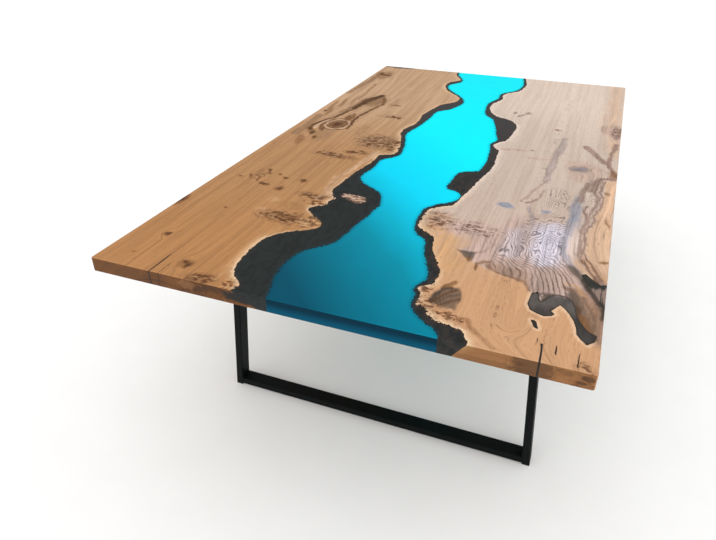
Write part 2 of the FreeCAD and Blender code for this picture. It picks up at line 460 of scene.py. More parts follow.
@dataclass(frozen=True)
class EndPatch:
    """A dark patch on the near end face: its middle across and above the underside, and its half sizes."""

    across: float
    height: float
    half_across: float
    half_height: float
    strength: float = 1.0
    colour: Colour = paint(66, 42, 24)


def smooth(values: np.ndarray) -> np.ndarray:
    """Smooth step of values from 0 to 1, which are clipped first."""
    share = np.clip(values, 0, 1)
    return share * share * (3 - 2 * share)


def line_distance(places: np.ndarray, line: Line) -> np.ndarray:
    """Distance in plan to a line of straight runs.

    Args:
        places: Plan points.
        line: Corners of the line.

    Returns:
        The distance of each point.
    """
    nearest = np.full(len(places), np.inf)
    for start, end in zip(line, line[1:]):
        begin = np.array(start, float)
        run = np.array(end, float) - begin
        share = np.clip(((places - begin) @ run) / max(run @ run, SAME_POINT), 0, 1)
        gap = places - begin - share[:, None] * run
        nearest = np.minimum(nearest, np.hypot(gap[:, 0], gap[:, 1]))
    return nearest


def wavering(places: np.ndarray) -> np.ndarray:
    """Plan points shifted a little by smooth noise, so that drawn shapes get natural outlines.

    Args:
        places: Plan points in mm.

    Returns:
        The shifted points.
    """
    shifted = places.copy()
    for width, along, reach in WAVES:
        for index, (across, ahead) in enumerate(places):
            spot = (across / width, ahead / along)
            shifted[index, 0] += reach * noise((*spot, width))
            shifted[index, 1] += reach * noise((*spot, 2.5 * width)) * along / width
    return shifted


def grain_rings(places: np.ndarray, lines: tuple[GrainLine, ...]) -> np.ndarray:
    """Distance across the growth rings, which follow the drawn grain lines.

    Args:
        places: Plan points.
        lines: Grain lines from left to right.

    Returns:
        The distance at each point, which is its own place across where the grain is straight.
    """
    across, along = places[:, 0], places[:, 1]
    shift = np.zeros(len(places))
    weight = np.full(len(places), STRAIGHT_WEIGHT)
    for line in lines:
        offset = line.across(along) - line.ring
        share = 1 / (1 + ((across - line.across(along)) / GRAIN_REACH) ** 2)
        shift += share * offset
        weight += share
    return across - shift / weight


LEFT_FIGURE: tuple[Shape, ...] = (
    Band(Tint.HONEY, ((-262, -1130), (-272, -1000), (-275, -900), (-262, -830), (-240, -790)), 10, 0.3),
    Band(Tint.TAN, (
        (-228, -600), (-238, -500), (-240, -420), (-225, -330), (-212, -240), (-205, -150),
    ), 14, 0.45),
    *ovals(Tint.CHESTNUT, (-275, -672, 60, 24, 0, 0.3), (-275, -752, 74, 36, 0, 0.65)),
    Oval(Tint.HONEY, -182, -752, 36, 36, 0, 0.6),
    *ovals(
        Tint.CHESTNUT, (-258, -586, 52, 22, 0, 0.6), (-300, -1135, 46, 24, 0, 0.6),
        (-375, -1078, 24, 22, 0, 0.7), (-345, -235, 74, 26, 0, 0.55), (-272, -178, 44, 24, 0, 0.5),
        (-264, -248, 26, 14, 15, 0.4),
    ),
    *ovals(
        Tint.FAWN, (-235, -45, 78, 78, 0, 0.75), (-345, 60, 30, 80, 0, 0.4), (-300, 275, 60, 24, 0, 0.4),
        (-345, 480, 24, 90, 0, 0.4),
    ),
    *ovals(Tint.CHESTNUT, (-328, 440, 20, 10, 10, 0.8), (-533, -120, 18, 60, 14, 0.6)),
    Oval(Tint.FAWN, -476, -40, 40, 90, 10, 0.5),
    *ovals(
        Tint.CHESTNUT, (-566, 395, 11, 90, 6, 0.6), (-574, 262, 11, 80, 6, 0.6),
        (-594, 330, 8, 110, 3, 0.5), (-532, 440, 9, 80, 6, 0.5),
    ),
    Band(Tint.FAWN, ((-590, 180), (-575, 60), (-580, -60)), 18, 0.7),
    *ovals(Tint.FAWN, (-438, 470, 46, 96, 0, 0.9), (-466, 100, 50, 70, 0, 0.7)),
    *ovals(Tint.UMBER, (-456, 190, 14, 60, 6, 0.8), (-466, 90, 26, 36, 0, 0.9)),
    Ring(Tint.UMBER, -466, 92, 36, 48, 4, 0.9),
    Ring(Tint.TAN, -465, 95, 46, 62, 5, 0.7),
    Ring(Tint.CHESTNUT, -465, 98, 56, 77, 4, 0.8),
    Band(Tint.TAN, ((-536, 20), (-540, 80), (-524, 132)), 10, 0.7),
    Band(Tint.UMBER, (
        (-552, 0), (-556, 60), (-542, 128), (-518, 178), (-502, 235), (-495, 290), (-484, 340),
    ), 8),
    Band(Tint.WALNUT, ((-556, 40), (-544, 124), (-518, 178), (-504, 228)), 4, 0.9),
    Band(Tint.FAWN, ((-520, 250), (-508, 320), (-500, 400), (-490, 500)), 9, 0.7),
    Band(Tint.WALNUT, ((-484, 335), (-481, 385), (-478, 450), (-464, 502), (-440, 565)), 15),
    Band(Tint.UMBER, (
        (-408, 56), (-414, 120), (-426, 190), (-424, 232), (-411, 302), (-404, 352), (-394, 405),
    ), 7),
    Band(Tint.WALNUT, ((-412, 110), (-426, 190), (-423, 236), (-411, 300)), 3.5, 0.9),
    Band(Tint.UMBER, ((-398, 392), (-386, 430), (-396, 480), (-418, 540)), 7, 0.8),
    Band(Tint.UMBER, ((-508, 16), (-524, 60), (-522, 100), (-502, 148)), 6, 0.8),
    Band(Tint.CHESTNUT, ((-448, 150), (-440, 210), (-452, 260)), 6, 0.8),
    Band(Tint.CHESTNUT, ((-520, 470), (-530, 600), (-545, 760)), 8, 0.5),
    Oval(Tint.CHESTNUT, -560, 950, 40, 90, 0, 0.6),
    Band(Tint.FAWN, ((-610, 560), (-600, 700), (-590, 820), (-600, 1000)), 14, 0.7),
    Band(Tint.SOOT, ((-624, 1149), (-560, 1140), (-470, 1149)), 16),
    Oval(Tint.CHESTNUT, -618, -758, 12, 40, 0, 0.9),
    Oval(Tint.SAND, -130, -555, 70, 50, 0, 0.7),
    *ovals(
        Figure.BURR, (-280, -752, 66, 34), (-190, -752, 38, 36, 0, 0.9), (-258, -590, 50, 20),
        (-222, -632, 34, 16), (-300, -1135, 34, 20), (-222, -1128, 28, 20, 0, 0.8), (-130, -555, 60, 40),
        (-235, -45, 78, 78, 0, 0.85), (-165, -90, 25, 60, 0, 0.8), (-345, -235, 66, 20),
        (-272, -178, 38, 18), (-285, 272, 50, 13, 0, 0.8), (-490, -500, 34, 70, 0, 0.6),
    ),
    *ovals(
        Figure.DARK, (-402, -488, 14, 12), (-337, -491, 14, 15), (-448, -557, 21, 10),
        (-380, -572, 16, 21, -20), (-470, -470, 9, 15, 20), (-486, -440, 8, 18, 15), (-432, -474, 12, 8),
        (-550, -522, 20, 9, 0, 0.8), (-517, -508, 9, 19, 15, 0.9), (-480, -530, 8, 25, 15, 0.9),
        (-518, -963, 21, 14, 35, 0.9), (-460, -758, 12, 11, 0, 0.8), (-543, -1080, 12, 10, 0, 0.8),
        (-383, -1072, 13, 11), (-367, -1085, 13, 16), (-621, -758, 10, 35), (-592, 252, 12, 12),
        (-168, -22, 12, 19), (-258, -85, 14, 22), (-256, 262, 14, 15), (-282, 274, 10, 20, 25),
        (-466, 90, 25, 32), (-546, -4, 16, 28, 15), (-520, -32, 12, 32, 20), (-488, -85, 9, 32, 15, 0.9),
        (-500, 22, 8, 35, 15, 0.9), (-548, 946, 29, 22), (-580, 962, 16, 32, 20),
    ),
    Band(Figure.DARK, ((-484, 355), (-480, 400), (-478, 450), (-466, 500)), 8),
)
LEFT_GRAIN = (
    GrainLine(-540, (
        (-540, -1150), (-540, -300), (-554, 0), (-556, 60), (-542, 128), (-518, 178), (-502, 235),
        (-495, 290), (-484, 340), (-478, 450), (-450, 565), (-470, 700), (-540, 1150),
    )),
    GrainLine(-465, (
        (-465, -1150), (-465, -200), (-470, 80), (-458, 200), (-450, 300), (-440, 450), (-430, 600),
        (-465, 1150),
    )),
    GrainLine(-400, (
        (-400, -1150), (-400, -200), (-405, 66), (-414, 120), (-426, 190), (-424, 232), (-411, 302),
        (-396, 405), (-398, 480), (-410, 560), (-400, 700), (-400, 1150),
    )),
    GrainLine(-300, ((-300, -1150), (-300, 1150))),
    GrainLine(-200, ((-200, -1150), (-200, 1150))),
)
LEFT_KNOTS = (
    Knot(-466, 88, 32, 30, 80),
    Knot(-560, 950, 26, 26, 90),
    Knot(-377, -1078, 14, 20, 45),
    Knot(-518, -963, 12, 12, 40),
    Knot(-270, -752, 60, 40, 90),
)
LEFT_END = (
    EndPatch(-426, 20, 34, 40, 0.35),
    EndPatch(-500, 14, 60, 22, 0.2),
    EndPatch(-330, 24, 26, 12, 0.4, paint(150, 104, 66)),
    EndPatch(-255, 30, 34, 9, 0.7),
    EndPatch(-290, 22, 20, 8, 0.6),
    EndPatch(-180, 24, 44, 15, 1.0, paint(34, 32, 30)),
)
LEFT_CRACKS = (
    Crack(-441, -1150, -1045, 1.6),
    Crack(-414, -1150, -1090, 0.8),
)

RIGHT_FIGURE: tuple[Shape, ...] = (
    Zone(Tint.TAN, (
        (592, -135), (625, -110), (625, -760), (605, -740), (582, -690), (566, -620), (562, -560),
        (572, -470), (584, -380), (590, -280),
    ), 12, 0.95),
    Zone(Tint.TAN, ((560, 1150), (625, 1150), (625, 100), (600, 120), (570, 220), (550, 500)), 80, 0.6),
    Zone(Tint.SAND, (
        (450, 20), (520, 40), (600, -40), (580, -100), (545, -160), (500, -190), (470, -120),
    ), 50, 0.65),
    Zone(Tint.ROSE, (
        (252, -748), (290, -700), (335, -650), (330, -560), (345, -440), (400, -300), (505, -300),
        (510, -470), (520, -640), (545, -720), (575, -790), (620, -870), (560, -900), (460, -895),
        (440, -862), (400, -850), (350, -836), (320, -815), (300, -800), (275, -775),
    ), 16, 0.85, (-660, -330)),
    # Painted reflection: a pale grey-lilac sheen over the crotch.
    Zone(Tint.LILAC_SHEEN, (
        (425, -470), (470, -455), (528, -420), (526, -520), (514, -600), (511, -680), (502, -745),
        (482, -805), (454, -785), (438, -730), (428, -680), (424, -620), (412, -550),
    ), 56, 0.95, (-610, -400)),
    Zone(Tint.LILAC_SHEEN, (
        (360, -600), (392, -556), (406, -640), (416, -700), (405, -748), (360, -748), (352, -680),
    ), 40, 0.4),
    Zone(Tint.BLUSH, (
        (338, -800), (360, -765), (430, -770), (500, -760), (545, -800), (590, -850), (556, -905),
        (462, -900), (440, -862), (352, -836),
    ), 22, 0.9),
    Zone(Tint.FAWN, (
        (336, -800), (352, -788), (400, -806), (446, -816), (458, -886), (440, -862), (400, -850),
        (352, -836), (340, -816),
    ), 14, 0.45),
    *ovals(Tint.PALE, (529, -585, 14, 110, 5), (546, -240, 7, 90, 0, 0.7), (553, -415, 6, 44, 0, 0.8)),
    Band(Tint.SLATE, (
        (520, -440), (512, -520), (504, -590), (503, -640), (514, -680), (526, -720), (540, -757),
    ), 10, 0.6),
    *ovals(Tint.SLATE, (520, -390, 19, 120, 2, 0.8), (438, -440, 15, 11, 0, 0.9)),
    Band(Tint.ASH, ((386, -412), (394, -450), (402, -490), (416, -540)), 8, 0.8),
    Band(Tint.TAUPE, ((538, -165), (534, -220), (528, -280), (524, -316)), 9, 0.9),
    Band(Tint.LEAD, ((532, -742), (548, -772), (568, -800), (590, -838)), 13, 0.95),
    Band(Tint.TAUPE, (
        (625, -112), (600, -106), (576, -116), (560, -145), (554, -185), (552, -220),
    ), 12, 0.95),
    Band(Tint.MAUVE, ((610, -108), (582, -112), (562, -138), (555, -180)), 5, 0.9),
    Band(Tint.TAUPE, (
        (578, -135), (568, -190), (565, -230), (571, -285), (570, -335), (563, -400), (555, -460),
        (545, -505), (542, -560), (546, -620), (554, -668),
    ), 5.5, 0.95),
    Band(Tint.MAUVE, (
        (592, -135), (581, -190), (578, -230), (585, -285), (584, -335), (577, -400), (569, -460),
        (559, -505), (556, -560), (560, -620), (568, -668),
    ), 4, 0.85),
    Band(Tint.MAUVE, ((548, -345), (545, -380), (549, -420), (553, -450)), 4),
    Band(Tint.TAUPE, ((556, -660), (572, -710), (596, -768), (622, -815)), 13, 0.8),
    Band(Tint.MAUVE, ((556, -640), (574, -705), (598, -765), (622, -808)), 4, 0.9),
    Band(Tint.UMBER, ((562, -690), (582, -748), (604, -800), (622, -846)), 5, 0.8),
    Band(Tint.TAN, ((562, -660), (578, -720), (596, -768)), 4, 0.8),
    Band(Tint.CHESTNUT, ((572, -680), (592, -735), (616, -785)), 4, 0.7),
    Zone(Tint.RUSSET, (
        (540, -840), (575, -840), (600, -876), (622, -920), (625, -1046), (606, -1036), (582, -1000),
        (562, -940), (552, -890),
    ), 12),
    Band(Tint.HONEY, ((530, -822), (552, -826), (566, -842), (576, -866)), 5, 0.5),
    Band(Tint.DRAB, ((530, -840), (548, -850), (560, -880)), 7, 0.8),
    Band(Tint.LEAD, ((548, -872), (562, -906), (576, -946), (590, -990)), 15, 0.95),
    Band(Tint.WALNUT, ((548, -884), (560, -914), (572, -954), (586, -1000)), 7, 0.9),
    Zone(Tint.LEAD, ((536, -884), (548, -864), (566, -890), (560, -930), (546, -915)), 12, 0.8),
    Zone(Tint.SOOT, (
        (472, -900), (480, -924), (487, -936), (502, -918), (524, -894), (512, -882), (490, -888),
    ), 9, 0.8),
    Oval(Tint.PALE, 484, -910, 4, 18, 0, 0.7),
    Oval(Tint.RUSSET, 608, -966, 24, 84, 4, 0.95),
    Oval(Tint.FAWN, 602, -940, 8, 44, 6, 0.5),
    Band(Tint.DRAB, ((576, -872), (590, -906), (602, -956), (610, -1012)), 5, 0.8),
    Band(Tint.DRAB, ((564, -876), (578, -920), (592, -970), (604, -1016)), 5, 0.8),
    Band(Tint.UMBER, ((578, -960), (592, -1000), (612, -1030)), 8, 0.8),
    Zone(Tint.LEAD, ((590, -822), (625, -836), (625, -930), (608, -876)), 8, 0.9),
    Band(Tint.SOOT, ((572, -808), (588, -836), (606, -868), (620, -900), (625, -950)), 9, 0.9),
    Zone(Tint.LEAD, ((246, -754), (301, -743), (299, -776), (291, -804), (280, -790), (256, -766)), 6),
    Oval(Tint.UMBER, 287, -790, 8, 14, 10, 0.9),
    Band(Tint.TAUPE, ((300, -744), (316, -736), (326, -716), (329, -698)), 5, 0.8),
    Zone(Tint.CHESTNUT, ((308, -806), (322, -788), (346, -780), (340, -800), (318, -812)), 6, 0.7),
    Band(Tint.UMBER, ((311, -806), (315, -826), (318, -846)), 4, 0.8),
    Band(Tint.CHESTNUT, ((338, -812), (354, -834), (400, -849), (440, -864), (455, -890)), 5, 0.6),
    Band(Tint.ASH, ((406, -200), (410, -100), (412, 0), (418, 100), (426, 200), (422, 262)), 13, 0.75),
    Band(Tint.TAUPE, ((398, -200), (399, -100), (400, 0), (406, 100), (414, 200)), 3, 0.5),
    Band(Tint.TAUPE, (
        (408, -195), (396, -228), (385, -280), (375, -322), (364, -360), (353, -382),
    ), 5, 0.7),
    Band(Tint.TAUPE, ((414, -190), (420, -60), (422, 20), (428, 110), (436, 200)), 3, 0.5),
    Band(Tint.TAUPE, ((413, -275), (406, -330), (395, -360), (376, -387)), 5, 0.7),
    Band(Tint.MAUVE, ((398, -352), (388, -372), (377, -386)), 5, 0.7),
    Oval(Tint.SLATE, 316, -436, 28, 17, -18),
    Oval(Tint.TAUPE, 500, -50, 34, 27),
    Oval(Tint.SLATE, 500, -52, 30, 20, 0, 0.6),
    Oval(Tint.LEAD, 496, -56, 20, 12, 0, 0.4),
    Band(Tint.TAUPE, ((508, 190), (535, 130), (560, 82), (582, 46)), 14, 0.9),
    Band(Tint.MAUVE, ((540, 122), (566, 76), (590, 34), (606, 0)), 5, 0.7),
    Band(Tint.MAUVE, ((612, 260), (602, 150), (592, 60), (594, 10), (608, -30), (620, -80)), 8, 0.85),
    Oval(Tint.CHESTNUT, 612, -60, 16, 46, 0, 0.6),
    Oval(Tint.UMBER, 598, -238, 9, 16, 15, 0.6),
    Oval(Tint.SAND, 568, 430, 22, 56, 0, 0.8),
    Oval(Tint.ROSE, 604, 400, 22, 90, 0, 0.9),
    Ring(Tint.TAUPE, 604, 400, 12, 66, 4, 0.9),
    Band(Tint.MAUVE, ((605, 340), (606, 400), (604, 460)), 4, 0.5),
    Band(Tint.CHESTNUT, ((620, 350), (622, 400), (621, 460)), 5, 0.5),
    *ovals(
        Tint.TAUPE, (222, 490, 10, 30, -25, 0.9), (246, 528, 14, 18, 0, 0.8), (186, 530, 8, 24, 0, 0.8),
        (387, 357, 14, 12, 0, 0.9), (325, 75, 9, 12, 0, 0.7),
    ),
    *ovals(Tint.SAND, (262, 60, 60, 12, 6, 0.8), (360, 0, 50, 10, 8, 0.7)),
    *ovals(Tint.CHESTNUT, (612, -682, 14, 7, 20, 0.9), (611, -455, 5, 28, 8, 0.8)),
    Zone(Tint.HONEY, (
        (110, -640), (190, -640), (246, -700), (250, -762), (300, -815), (240, -900), (150, -800),
    ), 36, 0.55),
    Oval(Tint.AMBER, 160, -606, 56, 46, 0, 0.5),
    *ovals(Tint.ROSE, (262, -622, 80, 50, 0, 0.9), (300, -680, 40, 46, 0, 0.7)),
    Zone(Tint.DRAB, (
        (243, -1016), (252, -975), (262, -950), (278, -940), (298, -938), (312, -962), (316, -1000),
        (308, -1034), (280, -1042), (256, -1030),
    ), 16, 0.9),
    Band(Tint.SOOT, ((247, -1014), (262, -968), (282, -938)), 5, 0.75),
    Band(Tint.WALNUT, ((251, -1022), (270, -986), (296, -950)), 4, 0.9),
    Band(Tint.SOOT, ((257, -1030), (278, -1000), (304, -972)), 4, 0.6),
    Band(Tint.WALNUT, ((268, -1036), (288, -1012), (310, -992)), 4, 0.7),
    Band(Tint.CHESTNUT, ((264, -950), (276, -930), (284, -912)), 6, 0.8),
    Zone(Tint.AMBER, (
        (212, -965), (236, -975), (240, -1025), (300, -1050), (345, -1048), (368, -1090), (330, -1096),
        (235, -1060),
    ), 12, 0.5),
    Band(Tint.CHESTNUT, ((345, -1048), (366, -1090), (396, -1126), (420, -1150)), 7, 0.45),
    Oval(Tint.CHESTNUT, 602, -1138, 30, 22, 0, 0.35),
    *ovals(
        Figure.BURR, (606, 400, 16, 60, 0, 0.9), (290, -1066, 60, 22, 0, 0.8), (238, -1040, 26, 26),
        (225, -975, 18, 40, 0, 0.8), (160, -608, 54, 60, 0, 0.72), (262, -622, 78, 46, 0, 0.75),
        (602, -1138, 26, 20, 0, 0.6),
    ),
    *ovals(Figure.DARK, (387, 357, 9, 8, 0, 0.8), (214, 478, 6, 16, -25, 0.8)),
    Zone(Figure.CURL, (
        (330, -815), (345, -700), (356, -600), (384, -540), (398, -480), (440, -440), (505, -450),
        (514, -560), (510, -660), (526, -740), (552, -810), (552, -890), (460, -905), (440, -858),
        (380, -838),
    ), 20),
    Zone(Figure.CURL, ((415, -240), (490, -240), (505, -400), (420, -430)), 24, 0.8),
    Zone(Figure.CURL, (
        (540, -100), (600, -100), (580, -420), (548, -500), (560, -640), (600, -760), (570, -750),
        (540, -600),
    ), 10, 0.5),
    Zone(Figure.CURL, ((545, -640), (570, -650), (625, -770), (625, -850), (590, -800)), 10, 0.8),
    Zone(Figure.CURL, (
        (545, -840), (600, -880), (622, -920), (622, -1010), (585, -1000), (555, -900),
    ), 10, 0.4),
    Zone(Figure.CURL, ((235, -560), (330, -590), (345, -700), (300, -740), (250, -690)), 24, 0.5),
)
RIGHT_GRAIN = (
    GrainLine(260, ((260, -1150), (260, 1150))),
    GrainLine(340, ((340, -1150), (340, 1150))),
    GrainLine(405, (
        (455, -1150), (480, -900), (455, -800), (425, -700), (404, -580), (396, -440), (372, -330),
        (392, -220), (408, -60), (424, 200), (410, 400), (405, 1150),
    )),
    GrainLine(500, (
        (560, -1150), (600, -900), (590, -850), (548, -750), (522, -680), (513, -600), (518, -430),
        (525, -330), (532, -250), (542, -170), (556, -100), (530, 100), (505, 200), (500, 1150),
    )),
    GrainLine(560, (
        (640, -1150), (640, -880), (622, -830), (600, -790), (575, -740), (560, -690), (552, -640),
        (546, -560), (548, -500), (562, -440), (574, -350), (578, -300), (576, -250), (580, -180),
        (592, -110), (605, 0), (598, 100), (570, 400), (560, 1150),
    )),
    GrainLine(610, (
        (680, -1150), (680, -850), (640, -780), (618, -690), (606, -600), (604, -500), (608, -400),
        (612, -300), (622, -100), (622, 0), (612, 200), (610, 1150),
    )),
)
RIGHT_KNOTS = (
    Knot(440, -1035, 70, 80, 170, True),
    Knot(280, -1000, 34, 52, 70),
    Knot(318, -430, 30, 20, 50),
    Knot(500, -45, 32, 28, 70),
    Knot(150, -605, 40, 50, 80),
    Knot(604, 400, 14, 60, 50),
)
RIGHT_END = (
    EndPatch(500, 20, 44, 40, 0.65),
    EndPatch(474, 24, 14, 6, 0.4),
    EndPatch(597, 12, 12, 4, 0.7),
    EndPatch(609, 26, 13, 6, 0.7),
    EndPatch(565, 28, 16, 8, 0.3),
    EndPatch(294, 34, 26, 4, 0.7, paint(150, 84, 46)),
    EndPatch(300, 26, 30, 4, 0.6, paint(196, 146, 104)),
    EndPatch(420, 8, 90, 8, 0.25),
)
RIGHT_CRACKS = (
    Crack(539, -1112, -1078, 1.2),
    Crack(585, -1138, -1086, 1.3),
    Crack(498, -1085, -1068, 0.7),
)


@dataclass(frozen=True)
class Hill:
    """A hill in the field whose contours are a crotch's curly lines: its middle, half sizes and height."""

    across: float
    along: float
    half_across: float
    half_along: float
    height: float

    def rise(self, places: np.ndarray) -> np.ndarray:
        """Height of the hill at each plan point.

        Args:
            places: Plan points in mm.

        Returns:
            The height at each point.
        """
        middle = np.array((self.across, self.along))
        offset = (places - middle) / np.array((self.half_across, self.half_along))
        return self.height * np.exp(-(offset**2).sum(axis=1))


CURL_HILLS = (
    Hill(470, -640, 18, 60, 5.0),
    Hill(434, -655, 13, 44, 4.2),
    Hill(440, -715, 12, 30, 2.2),
    Hill(455, -575, 70, 26, -2.0),
    Hill(398, -604, 15, 66, 4.2),
    Hill(412, -735, 24, 34, 2.4),
    Hill(352, -740, 18, 50, 1.6),
    Hill(455, -370, 18, 40, 2.6),
    Hill(472, -285, 12, 26, 1.8),
    Hill(600, -940, 16, 60, 2.4),
    Hill(290, -650, 40, 50, 2.2),
)
# Middle and spacing in mm of the curly lines, which run along the grain.
CURL_MIDDLE = 450.0
CURL_SPACING = 11.0
# Stretch of the crotch where they run across: its ends, the lengths over which it fades in and out, and the
# middle and the spacing of its lines.
CROSS_NEAR, CROSS_FAR = -640.0, -440.0
CROSS_FADE_IN, CROSS_FADE_OUT = 90.0, 60.0
CROSS_MIDDLE = -560.0
CROSS_SPACING = 16.0


def curl_field(places: np.ndarray, rings: np.ndarray) -> np.ndarray:
    """Field whose whole numbers are the middles of the curly lines.

    Args:
        places: Plan points.
        rings: Distance across the growth rings at each point.

    Returns:
        The field at each point.
    """
    along = places[:, 1]
    cross = smooth((along - CROSS_NEAR) / CROSS_FADE_IN) * smooth((CROSS_FAR - along) / CROSS_FADE_OUT)
    lengthwise = (rings - CURL_MIDDLE) / CURL_SPACING
    crosswise = (along - CROSS_MIDDLE) / CROSS_SPACING
    hills = sum(hill.rise(places) for hill in CURL_HILLS)
    return (1 - cross) * lengthwise + cross * crosswise + hills


@dataclass(frozen=True)
class GrainNodes:
    """Sockets of the grain that the steps of the oak's shader share."""

    place: Socket
    along: Socket
    end_face: Socket
    streaks: Socket
    veins: Socket
    fibres: Socket
    pore: Socket
    late: Socket
    hair: Socket
    ragged: Socket


@dataclass(frozen=True)
class OakFinish:
    """Satin oiled oak: grain that runs along Y, with burr, knots, stained areas and pale sapwood."""

    name: str
    # Tones along the table; the paler, greyer far tones are partly painted reflection of the far light.
    tones_and_far_sheen: tuple[tuple[float, Colour], ...]
    sapwood: Colour
    # Sapwood colour at the far end, partly painted reflection.
    far_sapwood_and_sheen: Colour
    sapwood_width: float
    # Darkening of the near end face: partly the end grain's own tone, partly painted shade.
    end_grain_and_shade: Triple
    contrast: float
    pith_across: float
    pith_height: float
    cracks: tuple[Crack, ...]
    end_patches: tuple[EndPatch, ...]

    EARLY_WOOD = paint(136, 92, 56)
    PORE = paint(92, 60, 36)
    BURR_EYE = paint(82, 44, 18)
    DARK_EDGE = paint(136, 90, 50)
    DARK_CORE = paint(76, 44, 18)
    CURL_LINE = paint(88, 76, 78)
    STREAK = paint(98, 72, 58)
    SAP_LINE = paint(230, 196, 162)
    BARK = paint(34, 29, 25)

    # Stretches along the table: where the sapwood turns pale, partly as painted sheen, where streaks turn to
    # curly
    #     lines, and where the patches of the end grain begin.
    PALE_SHEEN_SPAN = (-0.75, -0.2)
    CURL_SPAN = (-0.80, -0.71)
    END_SPAN = (-1.1, NEAR_FACE)

    def grain_nodes(self, graph: Graph) -> GrainNodes:
        """Makes the noises that follow the growth rings, which the mesh carries as an attribute.

        Args:
            graph: The material's nodes.

        Returns:
            Sockets of the grain.
        """
        place = graph.place()
        along = graph.part(place, "Y")
        height = graph.part(place, "Z")
        wander = graph.noise(place, (7, 1.8, 7), 2)
        across = graph.math("MULTIPLY_ADD", wander, 0.03, graph.attribute("rings"))
        level = graph.math("MULTIPLY_ADD", height, 0.9, across)
        sideways = graph.math("SUBTRACT", across, self.pith_across)
        upward = graph.math("SUBTRACT", height, self.pith_height)
        squares = graph.math("MULTIPLY_ADD", upward, upward, graph.times(sideways, sideways))
        facing = graph.part(graph.add("ShaderNodeNewGeometry", {}, "True Normal"), "Y")
        end_face = graph.fade(graph.math("ABSOLUTE", facing), 0.5, 0.95)
        arc = graph.math("SUBTRACT", graph.math("SQRT", squares), level)
        ring = graph.math("MULTIPLY_ADD", arc, end_face, level)
        grain = graph.join(ring, along, height)
        streaks = graph.noise(grain, (60, 1.6, 3), 5, 0.6)
        rings = graph.noise(grain, (220, 3.0, 3), 2, 0.5)
        veins = graph.noise(grain, (130, 5, 3), 3, 0.55, 0.3)
        fibres = graph.noise(grain, (760, 16, 30), 3, 0.6)
        pores = graph.noise(grain, (1150, 40, 60), 1, 0.5)
        pore = graph.times(graph.fade(pores, 0.56, 0.7), graph.fade(rings, 0.4, 0.62))
        years = graph.math("MULTIPLY_ADD", ring, 95.0, graph.times(streaks, 7.0))
        year = graph.math("FRACT", years)
        calm = graph.noise(place, (9, 2.5, 9), 3)
        stained = graph.between(graph.attribute("tint_share"), 0, 1.6)
        gate = graph.math("MAXIMUM", graph.fade(calm, 0.42, 0.62), stained)
        late = graph.times(graph.fade(year, 0.5, 0.97), gate)
        hairs = graph.noise(grain, (190, 1.1, 3), 2, 0.5)
        hair = graph.fade(hairs, 0.62, 0.72)
        ragged = graph.math("SUBTRACT", graph.noise(place, (90, 50, 90), 3, 0.65), 0.5)
        return GrainNodes(place, along, end_face, streaks, veins, fibres, pore, late, hair, ragged)

    def plain_wood(self, graph: Graph, grain: GrainNodes) -> Socket:
        """Colour of the straight wood, with its growth rings and its sapwood.

        Args:
            graph: The material's nodes.
            grain: Sockets of the grain.

        Returns:
            The colour.
        """
        early = graph.fade(grain.streaks, 0.62, 0.34)
        # Tones along the table, whose paler, greyer far end is partly painted reflection of the far light.
        start, colour = self.tones_and_far_sheen[0]
        for end, tone in self.tones_and_far_sheen[1:]:
            colour = graph.mix(graph.fade(grain.along, start, end), colour, tone)
            start = end
        colour = graph.cover(colour, self.EARLY_WOOD, early, self.contrast)
        rim = graph.math("MULTIPLY_ADD", grain.ragged, 0.02, graph.attribute("rim"))
        lines = graph.noise(graph.join(rim, grain.along, 0.0), (360, 9, 0), 2)
        ahead = graph.fade(grain.along, *self.PALE_SHEEN_SPAN)
        pale = graph.shade(graph.mix(ahead, self.sapwood, self.far_sapwood_and_sheen), graph.between(lines, 0.6, 1.3))
        patchy = graph.noise(grain.place, (3, 7, 3), 2)
        share = graph.times(graph.fade(rim, self.sapwood_width, 0.002), graph.fade(patchy, 0.3, 0.54))
        colour = graph.cover(colour, pale, share, 0.8)
        line = graph.times(graph.fade(rim, 0.013, 0.005), graph.fade(patchy, 0.2, 0.5))
        colour = graph.cover(colour, graph.mix(ahead, self.SAP_LINE, self.far_sapwood_and_sheen), line, 0.7)
        edge = graph.math("MULTIPLY_ADD", grain.ragged, 0.012, graph.attribute("void_rim"))
        return graph.cover(colour, self.SAP_LINE, graph.fade(edge, 0.011, 0.004), 0.6)

